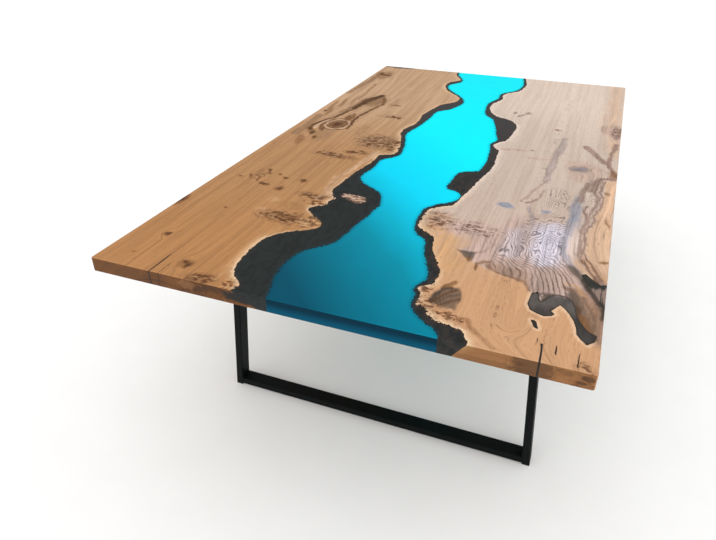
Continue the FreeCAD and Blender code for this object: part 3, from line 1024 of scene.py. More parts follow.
    def figured_wood(self, graph: Graph, grain: GrainNodes, colour: Socket) -> Socket:
        """Adds the stained areas, with edges that run out along the grain, and their curly lines.

        Args:
            graph: The material's nodes.
            grain: Sockets of the grain.
            colour: Colour of the straight wood.

        Returns:
            The colour with its figure.
        """
        area = graph.attribute("tint_share")
        swing = graph.math("SUBTRACT", graph.math("ADD", grain.streaks, grain.ragged), 0.5)
        loose = graph.times(swing, graph.between(area, 1.3, 0.3))
        share = graph.fade(graph.math("ADD", loose, area), 0.02, 0.98)
        share = graph.times(share, graph.fade(area, 0.0, 0.2))
        tint = graph.attribute("tint", "Color")
        stained = graph.shade(tint, graph.between(grain.streaks, 0.45, 1.55))
        veins = graph.times(graph.fade(grain.veins, 0.52, 0.68), graph.fade(area, 0.15, 0.6))
        stained = graph.cover(stained, graph.shade(tint, 0.4), veins, 0.6)
        colour = graph.mix(share, colour, stained)
        lines = graph.math("MAXIMUM", graph.between(grain.late, 0, 0.5), grain.hair)
        colour = graph.cover(colour, graph.shade(colour, 0.35), lines, self.contrast * 1.5)
        swirl = graph.noise(grain.place, (17, 9, 4), 3, 0.5, 0.4)
        ahead = graph.fade(grain.along, *self.CURL_SPAN)
        swing = graph.times(swirl, graph.between(ahead, 2.2, 7.0))
        contour = graph.math("ADD", swing, graph.attribute("curl"))
        fold = graph.math("ABSOLUTE", graph.math("SUBTRACT", graph.math("FRACT", contour), 0.5))
        strong = graph.fade(graph.noise(grain.place, (34, 20, 34), 2), 0.3, 0.62)
        line = graph.times(graph.fade(fold, 0.24, 0.48), graph.between(strong, 0.45, 1.0))
        curl = graph.math("MULTIPLY_ADD", grain.ragged, 0.8, graph.attribute(Figure.CURL.value))
        curl = graph.fade(curl, 0.2, 0.9)
        dark = graph.mix(ahead, self.STREAK, self.CURL_LINE)
        return graph.mix(graph.times(line, graph.between(curl, 0, 0.85)), colour, dark)

    def burr_eyes(self, graph: Graph, grain: GrainNodes) -> tuple[Socket, Socket]:
        """Shares of the dark eyes of burr wood and of the light wood between them.

        Args:
            graph: The material's nodes.
            grain: Sockets of the grain.

        Returns:
            The share of the eyes and the share of the light wood.
        """
        field = graph.math("MULTIPLY_ADD", grain.ragged, 1.1, graph.attribute(Figure.BURR.value))
        burr = graph.fade(field, 0.28, 0.72)
        blots = graph.noise(grain.place, (44, 80, 72), 2, 0.6, 0.4)
        pins = graph.stretch(grain.place, 66, 96, 90)
        spread = graph.times(graph.part(graph.cells(pins, "Color"), "X"), 0.36)
        pin = graph.fade(graph.math("SUBTRACT", graph.cells(pins), spread), 0.14, -0.04)
        eyes = graph.math("MAXIMUM", graph.fade(blots, 0.46, 0.56), graph.between(pin, 0, 0.8))
        light = graph.times(graph.fade(blots, 0.44, 0.36), burr)
        return graph.times(eyes, burr), light

    def crack_mask(self, graph: Graph, crack: Crack, grain: GrainNodes) -> Socket:
        """Share of a hairline crack, which tapers to its far end.

        Args:
            graph: The material's nodes.
            crack: The crack.
            grain: Sockets of the grain.

        Returns:
            The share, which is 1 in the open crack.
        """
        across = graph.math("MULTIPLY_ADD", grain.ragged, 0.006, graph.part(grain.place, "X"))
        gap = graph.math("ABSOLUTE", graph.math("SUBTRACT", across, crack.across * MM))
        width = graph.fade(gap, crack.half_width * MM * 1.6, crack.half_width * MM * 0.6)
        length = (crack.far - crack.near) * MM
        past_near = graph.fade(grain.along, crack.near * MM - 0.1 * length, crack.near * MM)
        short_of_far = graph.fade(grain.along, crack.far * MM, crack.far * MM - 0.3 * length)
        return graph.times(width, graph.times(past_near, short_of_far))

    def end_wood(self, graph: Graph, grain: GrainNodes, colour: Socket) -> Socket:
        """Darkens the end grain, partly as its own tone and partly as painted shade, with its dark patches.

        Args:
            graph: The material's nodes.
            grain: Sockets of the grain.
            colour: Colour of the wood without its end grain.

        Returns:
            The colour with its end grain.
        """
        # Darker end grain: partly its own tone, partly painted shade on the near end face.
        cut = graph.add("ShaderNodeVectorMath", {0: colour, 1: self.end_grain_and_shade}, operation="MULTIPLY")
        at_end = graph.fade(grain.along, *self.END_SPAN)
        underside = TOP_HEIGHT - TOP_THICKNESS
        for patch in self.end_patches:
            sideways = graph.math("SUBTRACT", graph.part(grain.place, "X"), patch.across * MM)
            upward = graph.math("SUBTRACT", graph.part(grain.place, "Z"), underside + patch.height * MM)
            scale = (1 / patch.half_across / MM, 1 / patch.half_height / MM, 0)
            offset = graph.stretch(graph.join(sideways, upward, 0.0), *scale)
            radius = graph.add("ShaderNodeVectorMath", {0: offset}, "Value", operation="LENGTH")
            field = graph.math("MULTIPLY_ADD", grain.ragged, 1.6, radius)
            share = graph.times(graph.fade(field, 1.25, 0.75), at_end)
            cut = graph.cover(cut, patch.colour, share, patch.strength)
        return graph.mix(grain.end_face, colour, cut)

    def material(self) -> bpy.types.Material:
        """Builds the oak's shader.

        Returns:
            The finished material.
        """
        graph = Graph(self.name)
        grain = self.grain_nodes(graph)
        colour = self.figured_wood(graph, grain, self.plain_wood(graph, grain))
        eyes, light = self.burr_eyes(graph, grain)
        colour = graph.cover(colour, self.SAP_LINE, light, 0.32)
        colour = graph.cover(colour, self.BURR_EYE, eyes, 0.85)
        dark_field = graph.math("MULTIPLY_ADD", grain.ragged, 0.9, graph.attribute(Figure.DARK.value))
        dark_wood = graph.mix(graph.fade(dark_field, 0.45, 0.9), self.DARK_EDGE, self.DARK_CORE)
        colour = graph.cover(colour, dark_wood, graph.fade(dark_field, 0.34, 0.8), 0.92)
        colour = graph.shade(colour, graph.between(grain.fibres, 0.78, 1.22))
        colour = graph.cover(colour, self.PORE, grain.pore, 0.45)
        reach = graph.between(graph.attribute(Figure.BURR.value), 0.015, 0.07)
        edge = graph.math("MULTIPLY_ADD", grain.ragged, reach, graph.attribute("rim"))
        colour = graph.mix(graph.fade(edge, 0.0028, 0.0012), colour, self.BARK)
        colour = self.end_wood(graph, grain, colour)
        depth = graph.math("MULTIPLY_ADD", grain.pore, -0.7, grain.fibres)
        depth = graph.math("MULTIPLY_ADD", eyes, -0.6, depth)
        for crack in self.cracks:
            open_part = self.crack_mask(graph, crack, grain)
            colour = graph.mix(open_part, colour, self.BARK)
            depth = graph.math("SUBTRACT", depth, open_part)
        graph.relief(depth, 0.2 * MM, 0.4)
        rough = graph.between(grain.fibres, 0.42, 0.58)
        return graph.finish(Base_Color=colour, Roughness=rough, Specular_IOR_Level=SATIN)


@dataclass(frozen=True)
class BarkFinish:
    """Dark bark and black resin along a live edge, sanded flush and sealed."""

    name: str = "sealed_bark"
    ground: Colour = paint(29, 36, 35)
    ridge: Colour = paint(22, 26, 25)
    fleck: Colour = paint(84, 58, 42)
    blue: Colour = paint(6, 58, 70)
    # Greyer colour at the far end: painted reflection.
    far: Colour = paint(66, 62, 62)
    brown: Colour = paint(70, 48, 42)
    far_sheen_span: Span = (-0.6, 0.6)
    brown_span: Span = (-0.05, 0.1)

    def material(self) -> bpy.types.Material:
        """Builds the bark's shader.

        Returns:
            The finished material.
        """
        graph = Graph(self.name)
        place = graph.place()
        ridges = graph.noise(place, (70, 28, 70), 4, 0.6, 0.4)
        grit = graph.noise(place, (420, 320, 420), 3, 0.6)
        colour = graph.mix(graph.fade(ridges, 0.38, 0.6), self.ridge, self.ground)
        # Painted reflection: the bark turns greyer towards the far end.
        colour = graph.cover(colour, self.far, graph.fade(graph.part(place, "Y"), *self.far_sheen_span), 0.75)
        to_right = graph.fade(graph.part(place, "X"), *self.brown_span)
        brown = graph.times(to_right, graph.fade(ridges, 0.42, 0.62))
        colour = graph.cover(colour, self.brown, brown, 0.3)
        near_wood = graph.fade(graph.attribute("from_wood"), 0.012, 0.0)
        fleck = graph.times(near_wood, graph.fade(grit, 0.5, 0.66))
        colour = graph.cover(colour, self.fleck, fleck, 0.8)
        near_resin = graph.fade(graph.attribute("from_resin"), 0.008, 0.0)
        colour = graph.cover(colour, self.blue, near_resin, 0.5)
        colour = graph.shade(colour, graph.between(grit, 0.8, 1.2))
        graph.relief(ridges, 0.3 * MM, 0.3)
        rough = graph.between(grit, 0.3, 0.46)
        return graph.finish(Base_Color=colour, Roughness=rough, Specular_IOR_Level=SATIN)


@dataclass(frozen=True)
class RiverFinish:
    """Polished milky blue resin; painted light takes it from deep teal at the near end to bright cyan far."""

    name: str = "river_resin"
    # deep, middle, bright and far: the resin's blue with painted light that grows brighter towards the far
    # end.
    deep: Colour = paint(0, 76, 98)
    middle: Colour = paint(0, 136, 160)
    bright: Colour = paint(0, 210, 242)
    far: Colour = paint(0, 240, 253)
    # Painted shade along the resin's shore and down its sides just under the top.
    shade: Colour = paint(0, 58, 76)
    # Near end face: painted shade at its top and painted light towards its bottom.
    end_top_shade: Colour = paint(0, 44, 62)
    end_bottom_light: Colour = paint(0, 74, 100)
    bark: Colour = paint(26, 30, 30)
    shine: float = 0.06
    ends: tuple[float, ...] = (-1.17, -0.78, -0.42, 0.1)
    end_span: Span = (-1.1465, NEAR_FACE)

    def material(self) -> bpy.types.Material:
        """Builds the resin's shader.

        Returns:
            The finished material.
        """
        graph = Graph(self.name)
        place = graph.place()
        cloud = graph.noise(place, (3.5, 2.2, 3.5), 3, 0.55, 0.5)
        haze = graph.noise(place, (22, 14, 22), 3, 0.6)
        along = graph.math("ADD", graph.part(place, "X"), graph.part(place, "Y"))
        along = graph.math("MULTIPLY_ADD", graph.math("SUBTRACT", cloud, 0.5), 0.1, along)
        # Painted light: the resin brightens from deep teal to bright cyan along the table.
        colour = self.deep
        for start, end, ahead in zip(self.ends, self.ends[1:], (self.middle, self.bright, self.far)):
            share = graph.add("ShaderNodeMapRange", {"Value": along, "From Min": start, "From Max": end})
            colour = graph.mix(share, colour, ahead)
        shore = graph.attribute("shore")
        # Painted shade along the shore, where the resin lies over the slab's slope.
        colour = graph.cover(colour, self.shade, graph.fade(shore, 0.014, 0.0), 0.4)
        # Painted shade on the resin's sides and end, darkest just under the top.
        drop = graph.math("SUBTRACT", TOP_HEIGHT, graph.part(place, "Z"))
        below_top = graph.fade(drop, 0.001, 0.003)
        under = graph.times(below_top, graph.fade(drop, 0.03, 0.012))
        colour = graph.cover(colour, self.shade, under, 0.75)
        # Painted shade at the top of the near end face, painted light lower down.
        at_end = graph.times(graph.fade(graph.part(place, "Y"), *self.end_span), below_top)
        end_light_and_shade = graph.mix(graph.fade(drop, 0.01, 0.034), self.end_top_shade, self.end_bottom_light)
        colour = graph.mix(at_end, colour, end_light_and_shade)
        colour = graph.shade(colour, graph.between(haze, 0.96, 1.04))
        ragged = graph.math("SUBTRACT", graph.noise(place, (100, 70, 100), 3, 0.65), 0.5)
        edge = graph.math("MULTIPLY_ADD", ragged, 0.022, shore)
        colour = graph.mix(graph.fade(edge, 0.0026, 0.001), colour, self.bark)
        rough = graph.between(haze, 0.14, 0.24)
        return graph.finish(Base_Color=colour, Roughness=rough, Specular_IOR_Level=self.shine)


@dataclass(frozen=True)
class FillFinish:
    """Dark resin in a void, with a darker rim and wood fibres that run in from the heart void's far edge."""

    name: str
    light: Colour
    dark: Colour
    rim: Colour = paint(46, 40, 32)
    fibre: Colour = paint(140, 118, 108)
    fibre_start: Span = (-0.915, -0.868)
    fibre_end: Span = (-0.8, -0.84)
    dark_span: Span = (-0.92, -0.985)

    def material(self) -> bpy.types.Material:
        """Builds the fill's shader.

        Returns:
            The finished material.
        """
        graph = Graph(self.name)
        place = graph.place()
        broad = graph.noise(place, (34, 16, 34), 3, 0.6)
        colour = graph.mix(graph.fade(broad, 0.3, 0.7), self.dark, self.light)
        streaks = graph.noise(place, (130, 9, 130), 3, 0.6)
        along = graph.part(place, "Y")
        ahead = graph.fade(along, *self.fibre_start)
        reach = graph.times(ahead, graph.fade(along, *self.fibre_end))
        fibre = graph.fade(graph.math("MULTIPLY_ADD", reach, 0.35, streaks), 0.62, 0.8)
        colour = graph.mix(graph.times(fibre, ahead), colour, self.fibre)
        colour = graph.mix(graph.fade(along, *self.dark_span), colour, graph.shade(colour, 0.45))
        ragged = graph.math("SUBTRACT", streaks, 0.5)
        edge = graph.math("MULTIPLY_ADD", ragged, 0.01, graph.attribute("rim"))
        colour = graph.cover(colour, self.rim, graph.fade(edge, 0.006, 0.002), 0.7)
        graph.relief(streaks, 0.05 * MM, 0.6)
        rough = graph.between(broad, 0.28, 0.42)
        return graph.finish(Base_Color=colour, Roughness=rough, Specular_IOR_Level=SATIN)


@dataclass(frozen=True)
class GrainedFinish:
    """A plain finish with a fine grain: powder coat, moulded plastic, plated or turned metal."""

    name: str
    light: Colour
    dark: Colour
    smooth: float
    rough: float
    grain: Triple
    relief: float
    metallic: float = 0.0
    shine: float = 0.3

    def material(self) -> bpy.types.Material:
        """Builds the finish's shader.

        Returns:
            The finished material.
        """
        graph = Graph(self.name)
        place = graph.place()
        fine = graph.noise(place, self.grain, 3, 0.6)
        broad = graph.noise(place, (9, 9, 9), 3, 0.6)
        mottle = graph.math("MULTIPLY_ADD", fine, 0.6, graph.times(broad, 0.4))
        colour = graph.mix(graph.fade(mottle, 0.3, 0.7), self.dark, self.light)
        graph.relief(fine, self.relief, 0.6)
        rough = graph.between(mottle, self.smooth, self.rough)
        return graph.finish(
            Base_Color=colour, Roughness=rough, Metallic=self.metallic, Specular_IOR_Level=self.shine
        )


OAK_FINISHES = {
    "left_slab": OakFinish(
        name="left_oak",
        # The paler far tone is partly painted reflection.
        tones_and_far_sheen=(
            (-1.0, paint(183, 131, 82)),
            (-0.3, paint(182, 136, 92)),
            (0.5, paint(198, 162, 128)),
        ),
        sapwood=paint(222, 180, 136),
        far_sapwood_and_sheen=paint(218, 180, 142),
        sapwood_width=0.030,
        end_grain_and_shade=(0.32, 0.245, 0.15),
        contrast=0.32,
        pith_across=-0.40,
        pith_height=0.55,
        cracks=LEFT_CRACKS,
        end_patches=LEFT_END,
    ),
    "right_slab": OakFinish(
        name="right_oak",
        # The paler, greyer far tones are partly painted reflection.
        tones_and_far_sheen=(
            (-0.92, paint(204, 157, 117)),
            (-0.5, paint(202, 181, 166)),
            (0.0, paint(204, 186, 171)),
            (0.8, paint(222, 202, 186)),
        ),
        sapwood=paint(228, 196, 158),
        far_sapwood_and_sheen=paint(228, 208, 194),
        sapwood_width=0.027,
        end_grain_and_shade=(0.48, 0.385, 0.26),
        contrast=0.16,
        pith_across=0.46,
        pith_height=0.60,
        cracks=RIGHT_CRACKS,
        end_patches=RIGHT_END,
    ),
}
HEART_RESIN = FillFinish("heart_resin", paint(98, 91, 87), paint(72, 66, 63))
BLACK_RESIN = FillFinish("black_resin", paint(58, 56, 50), paint(38, 37, 33))
POWDER_COAT = GrainedFinish(
    "black_powder_coat", paint(10, 15, 14), paint(4, 7, 7), 0.42, 0.58, (900, 900, 900), 0.08 * MM, shine=0.1
)
BLACK_PLASTIC = GrainedFinish(
    "black_plastic", paint(24, 24, 24), paint(14, 14, 14), 0.5, 0.66, (500, 500, 500), 0.06 * MM
)
ZINC = GrainedFinish(
    "zinc_plate", paint(196, 194, 184), paint(150, 150, 146), 0.28, 0.44, (220, 220, 220), 0.03 * MM,
    metallic=1.0,
)
BRASS = GrainedFinish(
    "turned_brass", paint(206, 170, 96), paint(166, 128, 66), 0.26, 0.4, (60, 60, 1400), 0.03 * MM,
    metallic=1.0,
)


def edge_samples(bm: bmesh.types.BMesh, within: float) -> list[Vector]:
    """Points along the live edges of a piece of the top, on its top face and on its underside.

    A live edge lies between a level face and a wall, within the table's sides and short of its ends.

    Args:
        bm: The piece's merged mesh.
        within: Farthest distance of an edge from the table's middle line in metres.

    Returns:
        The points.
    """
    samples = []
    for edge in bm.edges:
        level = [face for face in edge.link_faces if abs(face.normal.z) > LEVEL_NORMAL]
        at_end = min(abs(vert.co.y) for vert in edge.verts) > LENGTH_REACH
        if len(edge.link_faces) != 2 or len(level) != 1 or at_end:
            continue
        if max(abs(vert.co.x) for vert in edge.verts) > within:
            continue
        start, end = (vert.co for vert in edge.verts)
        count = max(1, math.ceil((end - start).length / EDGE_SPACING))
        samples.extend(start.lerp(end, step / count) for step in range(count))
    return samples


def merged_copy(node: str) -> bmesh.types.BMesh:
    """Copy of a CAD node's mesh with its doubles merged and its flat faces made whole.

    Args:
        node: Name of the CAD node.

    Returns:
        The copy, to be freed after use.
    """
    bm = bmesh.new()
    bm.from_mesh(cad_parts[node].data)
    bmesh.ops.remove_doubles(bm, verts=bm.verts, dist=SAME_POINT)
    bmesh.ops.dissolve_limit(bm, angle_limit=math.radians(0.05), verts=bm.verts, edges=bm.edges)
    return bm


def live_edge_tree(*nodes: str, within: float) -> KDTree:
    """Finder of the nearest point on the live edges of nodes, within a reach from the table's middle line.

    Args:
        *nodes: Names of the CAD nodes.
        within: Farthest distance of an edge from the table's middle line in metres.

    Returns:
        The finder.
    """
    samples = []
    for node in nodes:
        bm = merged_copy(node)
        samples.extend(edge_samples(bm, within))
        bm.free()
    tree = KDTree(len(samples))
    for index, sample in enumerate(samples):
        tree.insert(sample, index)
    tree.balance()
    return tree


def cut_into_cells(bm: bmesh.types.BMesh, cell: float) -> None:
    """Cuts a mesh by upright planes into square cells in plan.

    Args:
        bm: The mesh.
        cell: Size of the cells in metres.
    """
    for axis in (0, 1):
        normal = Vector((0.0, 0.0, 0.0))
        normal[axis] = 1.0
        reach = [vert.co[axis] for vert in bm.verts]
        ahead = bm.faces[:]
        for step in range(math.ceil(min(reach) / cell), math.floor(max(reach) / cell) + 1):
            parts = set(ahead)
            for face in ahead:
                parts.update(face.edges)
                parts.update(face.verts)
            cut = bmesh.ops.bisect_plane(
                bm, geom=list(parts), dist=SAME_POINT, plane_co=normal * step * cell, plane_no=normal
            )
            faces = [part for part in cut["geom"] if isinstance(part, bmesh.types.BMFace)]
            cut_place = step * cell + SAME_POINT
            ahead = [face for face in faces if max(vert.co[axis] for vert in face.verts) > cut_place]


def on_top(face: bmesh.types.BMFace) -> bool:
    """Whether a face lies in the table's top."""
    return all(vert.co.z > TOP_HEIGHT - SAME_POINT for vert in face.verts)


def refine_top(bm: bmesh.types.BMesh, cuts: int) -> None:
    """Divides the cells of the top face further, so that they carry fine figure.

    Args:
        bm: The mesh, cut into cells.
        cuts: Number of further cuts across each cell.
    """
    edges = {edge for face in bm.faces if on_top(face) for edge in face.edges}
    bmesh.ops.subdivide_edges(bm, edges=list(edges), cuts=cuts, use_grid_fill=True)
    uneven = [face for face in bm.faces if len(face.verts) > 4 and on_top(face)]
    bmesh.ops.poke(bm, faces=uneven)


def shade_edges(bm: bmesh.types.BMesh) -> None:
    """Makes flat faces flat and the eased edges between them smooth."""
    for face in bm.faces:
        face.smooth = max(abs(part) for part in face.normal) < FLAT_NORMAL


def piece_from(
    bm: bmesh.types.BMesh, name: str, material: bpy.types.Material
) -> bpy.types.Object:
    """Makes a finished piece of the table from a mesh.

    Args:
        bm: The mesh, in the table's frame. It is freed.
        name: The piece's name.
        material: Its finish.

    Returns:
        The piece, riding on the table.
    """
    mesh = bpy.data.meshes.new(name)
    bm.to_mesh(mesh)
    bm.free()
    mesh.materials.append(material)
    piece = bpy.data.objects.new(name, mesh)
    bpy.context.scene.collection.objects.link(piece)
    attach(piece, "root")
    LOG.info("piece %s: %d faces, %s", name, len(mesh.polygons), material.name)
    return piece


def refined_piece(
    node: str, ending: str, material: bpy.types.Material, cell: float, cuts: int = 0
) -> bpy.types.Object:
    """Makes a piece that stands for a CAD node of the top, with a mesh that is fine enough for its finish.

    Args:
        node: The CAD node.
        ending: Ending of the piece's name after the node's.
        material: Its finish.
        cell: Size of the mesh's cells in metres.
        cuts: Number of further cuts across each cell of the top face.

    Returns:
        The piece.
    """
    bm = merged_copy(node)
    cut_into_cells(bm, cell)
    if cuts:
        refine_top(bm, cuts)
    shade_edges(bm)
    piece = piece_from(bm, node + ending, material)
    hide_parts(node)
    return piece


def dress_node(node: str, material: bpy.types.Material) -> None:
    """Gives a CAD node a finish.

    Args:
        node: Name of the CAD node.
        material: Its finish.
    """
    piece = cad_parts[node]
    if not piece.material_slots:
        piece.data.materials.append(None)
    for slot in piece.material_slots:
        slot.link = "OBJECT"
        slot.material = material
    LOG.info("node %s: %s", node, material.name)


def set_attribute(piece: bpy.types.Object, name: str, values: np.ndarray) -> None:
    """Stores a value at each of a piece's vertices."""
    attribute = piece.data.attributes.new(name, "FLOAT", "POINT")
    attribute.data.foreach_set("value", values.astype(np.float32))


def vertex_places(piece: bpy.types.Object) -> np.ndarray:
    """Places of a piece's vertices in metres, one row each.

    Args:
        piece: The piece.

    Returns:
        Place across, along and up of each vertex.
    """
    places = np.empty(len(piece.data.vertices) * 3, np.float32)
    piece.data.vertices.foreach_get("co", places)
    return places.reshape(-1, 3).astype(float)


def note_distance(piece: bpy.types.Object, name: str, *nodes: str, within: float = RIVER_REACH) -> None:
    """Stores at each of a piece's vertices its distance in metres from the live edges of nodes."""
    tree = live_edge_tree(*nodes, within=within)
    set_attribute(piece, name, np.array([tree.find(place)[2] for place in vertex_places(piece)]))


@dataclass
class Slab:
    """One live-edge oak slab with its figure."""

    node: str
    figure: tuple[Shape, ...]
    grain: tuple[GrainLine, ...]
    knots: tuple[Knot, ...]
    voids: tuple[str, ...] = ()
    cell: float = 0.020
    cuts: int = 3

    def build(self) -> bpy.types.Object:
        """Builds the slab with a top that is fine enough to carry its figure."""
        finish = OAK_FINISHES[self.node].material()
        return refined_piece(self.node, "_wood", finish, self.cell, self.cuts)

    def dress(self, piece: bpy.types.Object) -> None:
        """Draws the growth rings, the figure and the distance from the live edge on the slab.

        Args:
            piece: The slab's piece.
        """
        plan = vertex_places(piece)[:, :2] / MM
        rings = grain_rings(plan, self.grain)
        set_attribute(piece, "curl", curl_field(plan, rings))
        for knot in self.knots:
            rings = knot.bend(rings, plan)
        set_attribute(piece, "rings", rings * MM)
        note_distance(piece, "rim", self.node)
        if self.voids:
            note_distance(piece, "void_rim", *self.voids, within=VOID_REACH)
        else:
            set_attribute(piece, "void_rim", np.ones(len(plan)))
        plan = wavering(plan)
        for kind in Figure:
            depths = [shape.strength * shape.depth(plan) for shape in self.figure if shape.kind is kind]
            set_attribute(piece, kind.value, np.max(depths, axis=0) if depths else np.zeros(len(plan)))
        self.lay_tints(piece, plan)

    def lay_tints(self, piece: bpy.types.Object, plan: np.ndarray) -> None:
        """Lays the tinted areas over each other and stores their colour and their share.

        Args:
            piece: The slab.
            plan: Plan points of its vertices.
        """
        tint = np.tile(Tint.FAWN.value, (len(plan), 1))
        area = np.zeros(len(plan))
        for shape in self.figure:
            if isinstance(shape.kind, Tint):
                # A tint fades in over the middle half of the depths, so it is half there at its outline.
                cover = shape.strength * smooth(shape.depth(plan) * 2 - 0.5)
                after = cover + area * (1 - cover)
                share = np.divide(cover, after, out=np.zeros_like(cover), where=after > 0)
                tint += share[:, None] * (np.array(shape.kind.value) - tint)
                area = after
        set_attribute(piece, "tint_share", area)
        layer = piece.data.attributes.new("tint", "FLOAT_COLOR", "POINT")
        layer.data.foreach_set("color", tint.ravel().astype(np.float32))


@dataclass
class BarkLining:
    """The dark bark and black resin between a slab and the river."""

    node: str
    slab: str
    cell: float = 0.020
    cuts: int = 1

    def build(self, material: bpy.types.Material) -> bpy.types.Object:
        """Builds the lining."""
        return refined_piece(self.node, "_sealed", material, self.cell, self.cuts)

    def dress(self, piece: bpy.types.Object) -> None:
        """Notes how far each vertex is from the wood and from the river."""
        note_distance(piece, "from_wood", self.slab)
        note_distance(piece, "from_resin", "river_resin")


@dataclass
class River:
    """The blue resin river."""

    node: str = "river_resin"
    cell: float = 0.020

    def build(self) -> bpy.types.Object:
        """Builds the river."""
        return refined_piece(self.node, "_cast", RiverFinish().material(), self.cell)

    def dress(self, piece: bpy.types.Object) -> None:
        """Notes how far each vertex is from the shore."""
        note_distance(piece, "shore", self.node)


@dataclass
class Fill:
    """A dark resin fill of the right slab."""

    node: str
    cell: float = 0.010

    def build(self, material: bpy.types.Material) -> bpy.types.Object:
        """Builds the fill."""
        return refined_piece(self.node, "_cast", material, self.cell)

    def dress(self, piece: bpy.types.Object) -> None:
        """Notes how far each vertex is from the wood."""
        note_distance(piece, "rim", self.node, within=VOID_REACH)


@dataclass(frozen=True)
class Seam:
    """A fillet weld: its two ends, and the two directions away from its corner along the joined faces."""

    start: Vector
    end: Vector
    first: Vector
    second: Vector
    size: float = 3.5 * MM
    ripple: float = 3.0 * MM
    step: float = 0.75 * MM
    hollow: float = 0.16
    taper_rows: int = 4
    arc_steps: int = 6
    root_depth: float = 0.1

    def radius(self, index: int, count: int) -> float:
        """Size of the rippled bead at one of its rows, where it tapers to both ends.

        Args:
            index: Number of the row.
            count: Number of the last row.

        Returns:
            The size in metres.
        """
        wave = abs(math.sin(math.pi * index * self.step / self.ripple))
        taper = min(1.0, (index + 1) / self.taper_rows, (count + 1 - index) / self.taper_rows)
        return self.size * (1 - self.hollow + self.hollow * wave) * taper

    def lay(self, bm: bmesh.types.BMesh) -> None:
        """Adds the bead to a mesh, as a quarter-round profile that is drawn along the seam.

        Args:
            bm: The mesh.
        """
        count = max(8, round((self.end - self.start).length / self.step))
        radius = self.radius(0, count)
        corners = [self.start - self.root_depth * radius * (self.first + self.second)]
        for turn in range(self.arc_steps + 1):
            angle = math.radians(90 * turn / self.arc_steps)
            outward = math.cos(angle) * self.first + math.sin(angle) * self.second
            corners.append(self.start + radius * outward)
        verts = [bmesh.ops.create_vert(bm, co=corner)["vert"][0] for corner in corners]
        edges = []
        for vert, after in zip(verts, verts[1:] + verts[:1]):
            edges.extend(bmesh.ops.contextual_create(bm, geom=[vert, after])["edges"])
        bmesh.ops.contextual_create(bm, geom=edges)
        centre = self.start
        for index in range(1, count + 1):
            grown = self.radius(index, count)
            ahead = self.start.lerp(self.end, index / count)
            drawn = bmesh.ops.extrude_edge_only(bm, edges=edges)["geom"]
            edges = [part for part in drawn if isinstance(part, bmesh.types.BMEdge)]
            for vert in (part for part in drawn if isinstance(part, bmesh.types.BMVert)):
                vert.co = ahead + (vert.co - centre) * grown / radius
            centre, radius = ahead, grown
        bmesh.ops.contextual_create(bm, geom=edges)


@dataclass
class LegFrame:
    """One welded leg frame with its plugs and fasteners."""

    name: str
    steel: tuple[str, ...] = ("left_post", "right_post", "foot_bar", "top_bar", "left_plate", "right_plate")
    plugs: tuple[str, ...] = ("left_foot_plug", "right_foot_plug")
    end_gap: float = 5 * MM
    chamfer: float = 1.0 * MM

    def seams(self) -> list[Seam]:
        """Welds between the posts and bars, and between the plates and the top bar.

        Returns:
            The seams.
        """
        foot_low, foot_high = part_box(self.name + "_foot_bar")
        top_low, top_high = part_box(self.name + "_top_bar")
        plate_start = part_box(self.name + "_right_plate")[0].x
        lean = (foot_high.x - top_high.x) / (top_low.z - foot_low.z)
        foot_end = foot_high.x - lean * (foot_high.z - foot_low.z)
        near, far = top_low.y + self.end_gap, top_high.y - self.end_gap
        down = Vector((0.0, 0.0, -1.0))
        seams = []
        for side in (-1, 1):
            inward = Vector((-side, 0.0, 0.0))
            up_post = Vector((-side * lean, 0.0, 1.0)).normalized()
            corners = ((foot_end, foot_high.z, up_post), (top_high.x, top_low.z, -up_post))
            for end, height, along_post in corners:
                start = Vector((side * end, near, height))
                seams.append(Seam(start, Vector((side * end, far, height)), inward, along_post))
            for place, outward in ((top_low.y, -1.0), (top_high.y, 1.0)):
                start = Vector((side * (plate_start + self.end_gap), place, top_high.z))
                end = Vector((side * (top_high.x - self.end_gap), place, top_high.z))
                seams.append(Seam(start, end, Vector((0.0, outward, 0.0)), down))
        return seams

    def build_welds(self, material: bpy.types.Material) -> None:
        """Builds the frame's weld beads.

        Args:
            material: Finish of the steel.
        """
        bm = bmesh.new()
        for seam in self.seams():
            seam.lay(bm)
        bmesh.ops.recalc_face_normals(bm, faces=bm.faces)
        for face in bm.faces:
            face.smooth = len(face.verts) == 4
        piece_from(bm, self.name + "_welds", material)

    def build_bolts(self, material: bpy.types.Material) -> None:
        """Builds the frame's bolts with chamfered heads.

        Args:
            material: Finish of the bolts.
        """
        node = self.name + "_bolts"
        bm = merged_copy(node)
        low = min(vert.co.z for vert in bm.verts) + 10 * SAME_POINT
        rims = [edge for edge in bm.edges if all(vert.co.z < low for vert in edge.verts)]
        bmesh.ops.bevel(
            bm, geom=rims, offset=self.chamfer, affect="EDGES", segments=2, profile=0.5, material=-1
        )
        piece = piece_from(bm, node + "_chamfered", material)
        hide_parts(node)

    def dress(self, coat: bpy.types.Material, plastic: bpy.types.Material) -> None:
        """Gives the frame's steel and plugs their finishes.

        Args:
            coat: Finish of the steel.
            plastic: Finish of the plugs.
        """
        for part in self.steel:
            dress_node(f"{self.name}_{part}", coat)
        for part in self.plugs:
            dress_node(f"{self.name}_{part}", plastic)


@dataclass
class LegFrames:
    """The two welded leg frames with their fasteners."""

    names: tuple[str, ...] = ("near", "far")

    def build(self) -> None:
        """Builds and dresses both frames."""
        coat = POWDER_COAT.material()
        plastic = BLACK_PLASTIC.material()
        zinc = ZINC.material()
        brass = BRASS.material()
        for leg in map(LegFrame, self.names):
            leg.dress(coat, plastic)
            leg.build_welds(coat)
            leg.build_bolts(zinc)
            dress_node(leg.name + "_washers", zinc)
            dress_node(leg.name + "_inserts", brass)


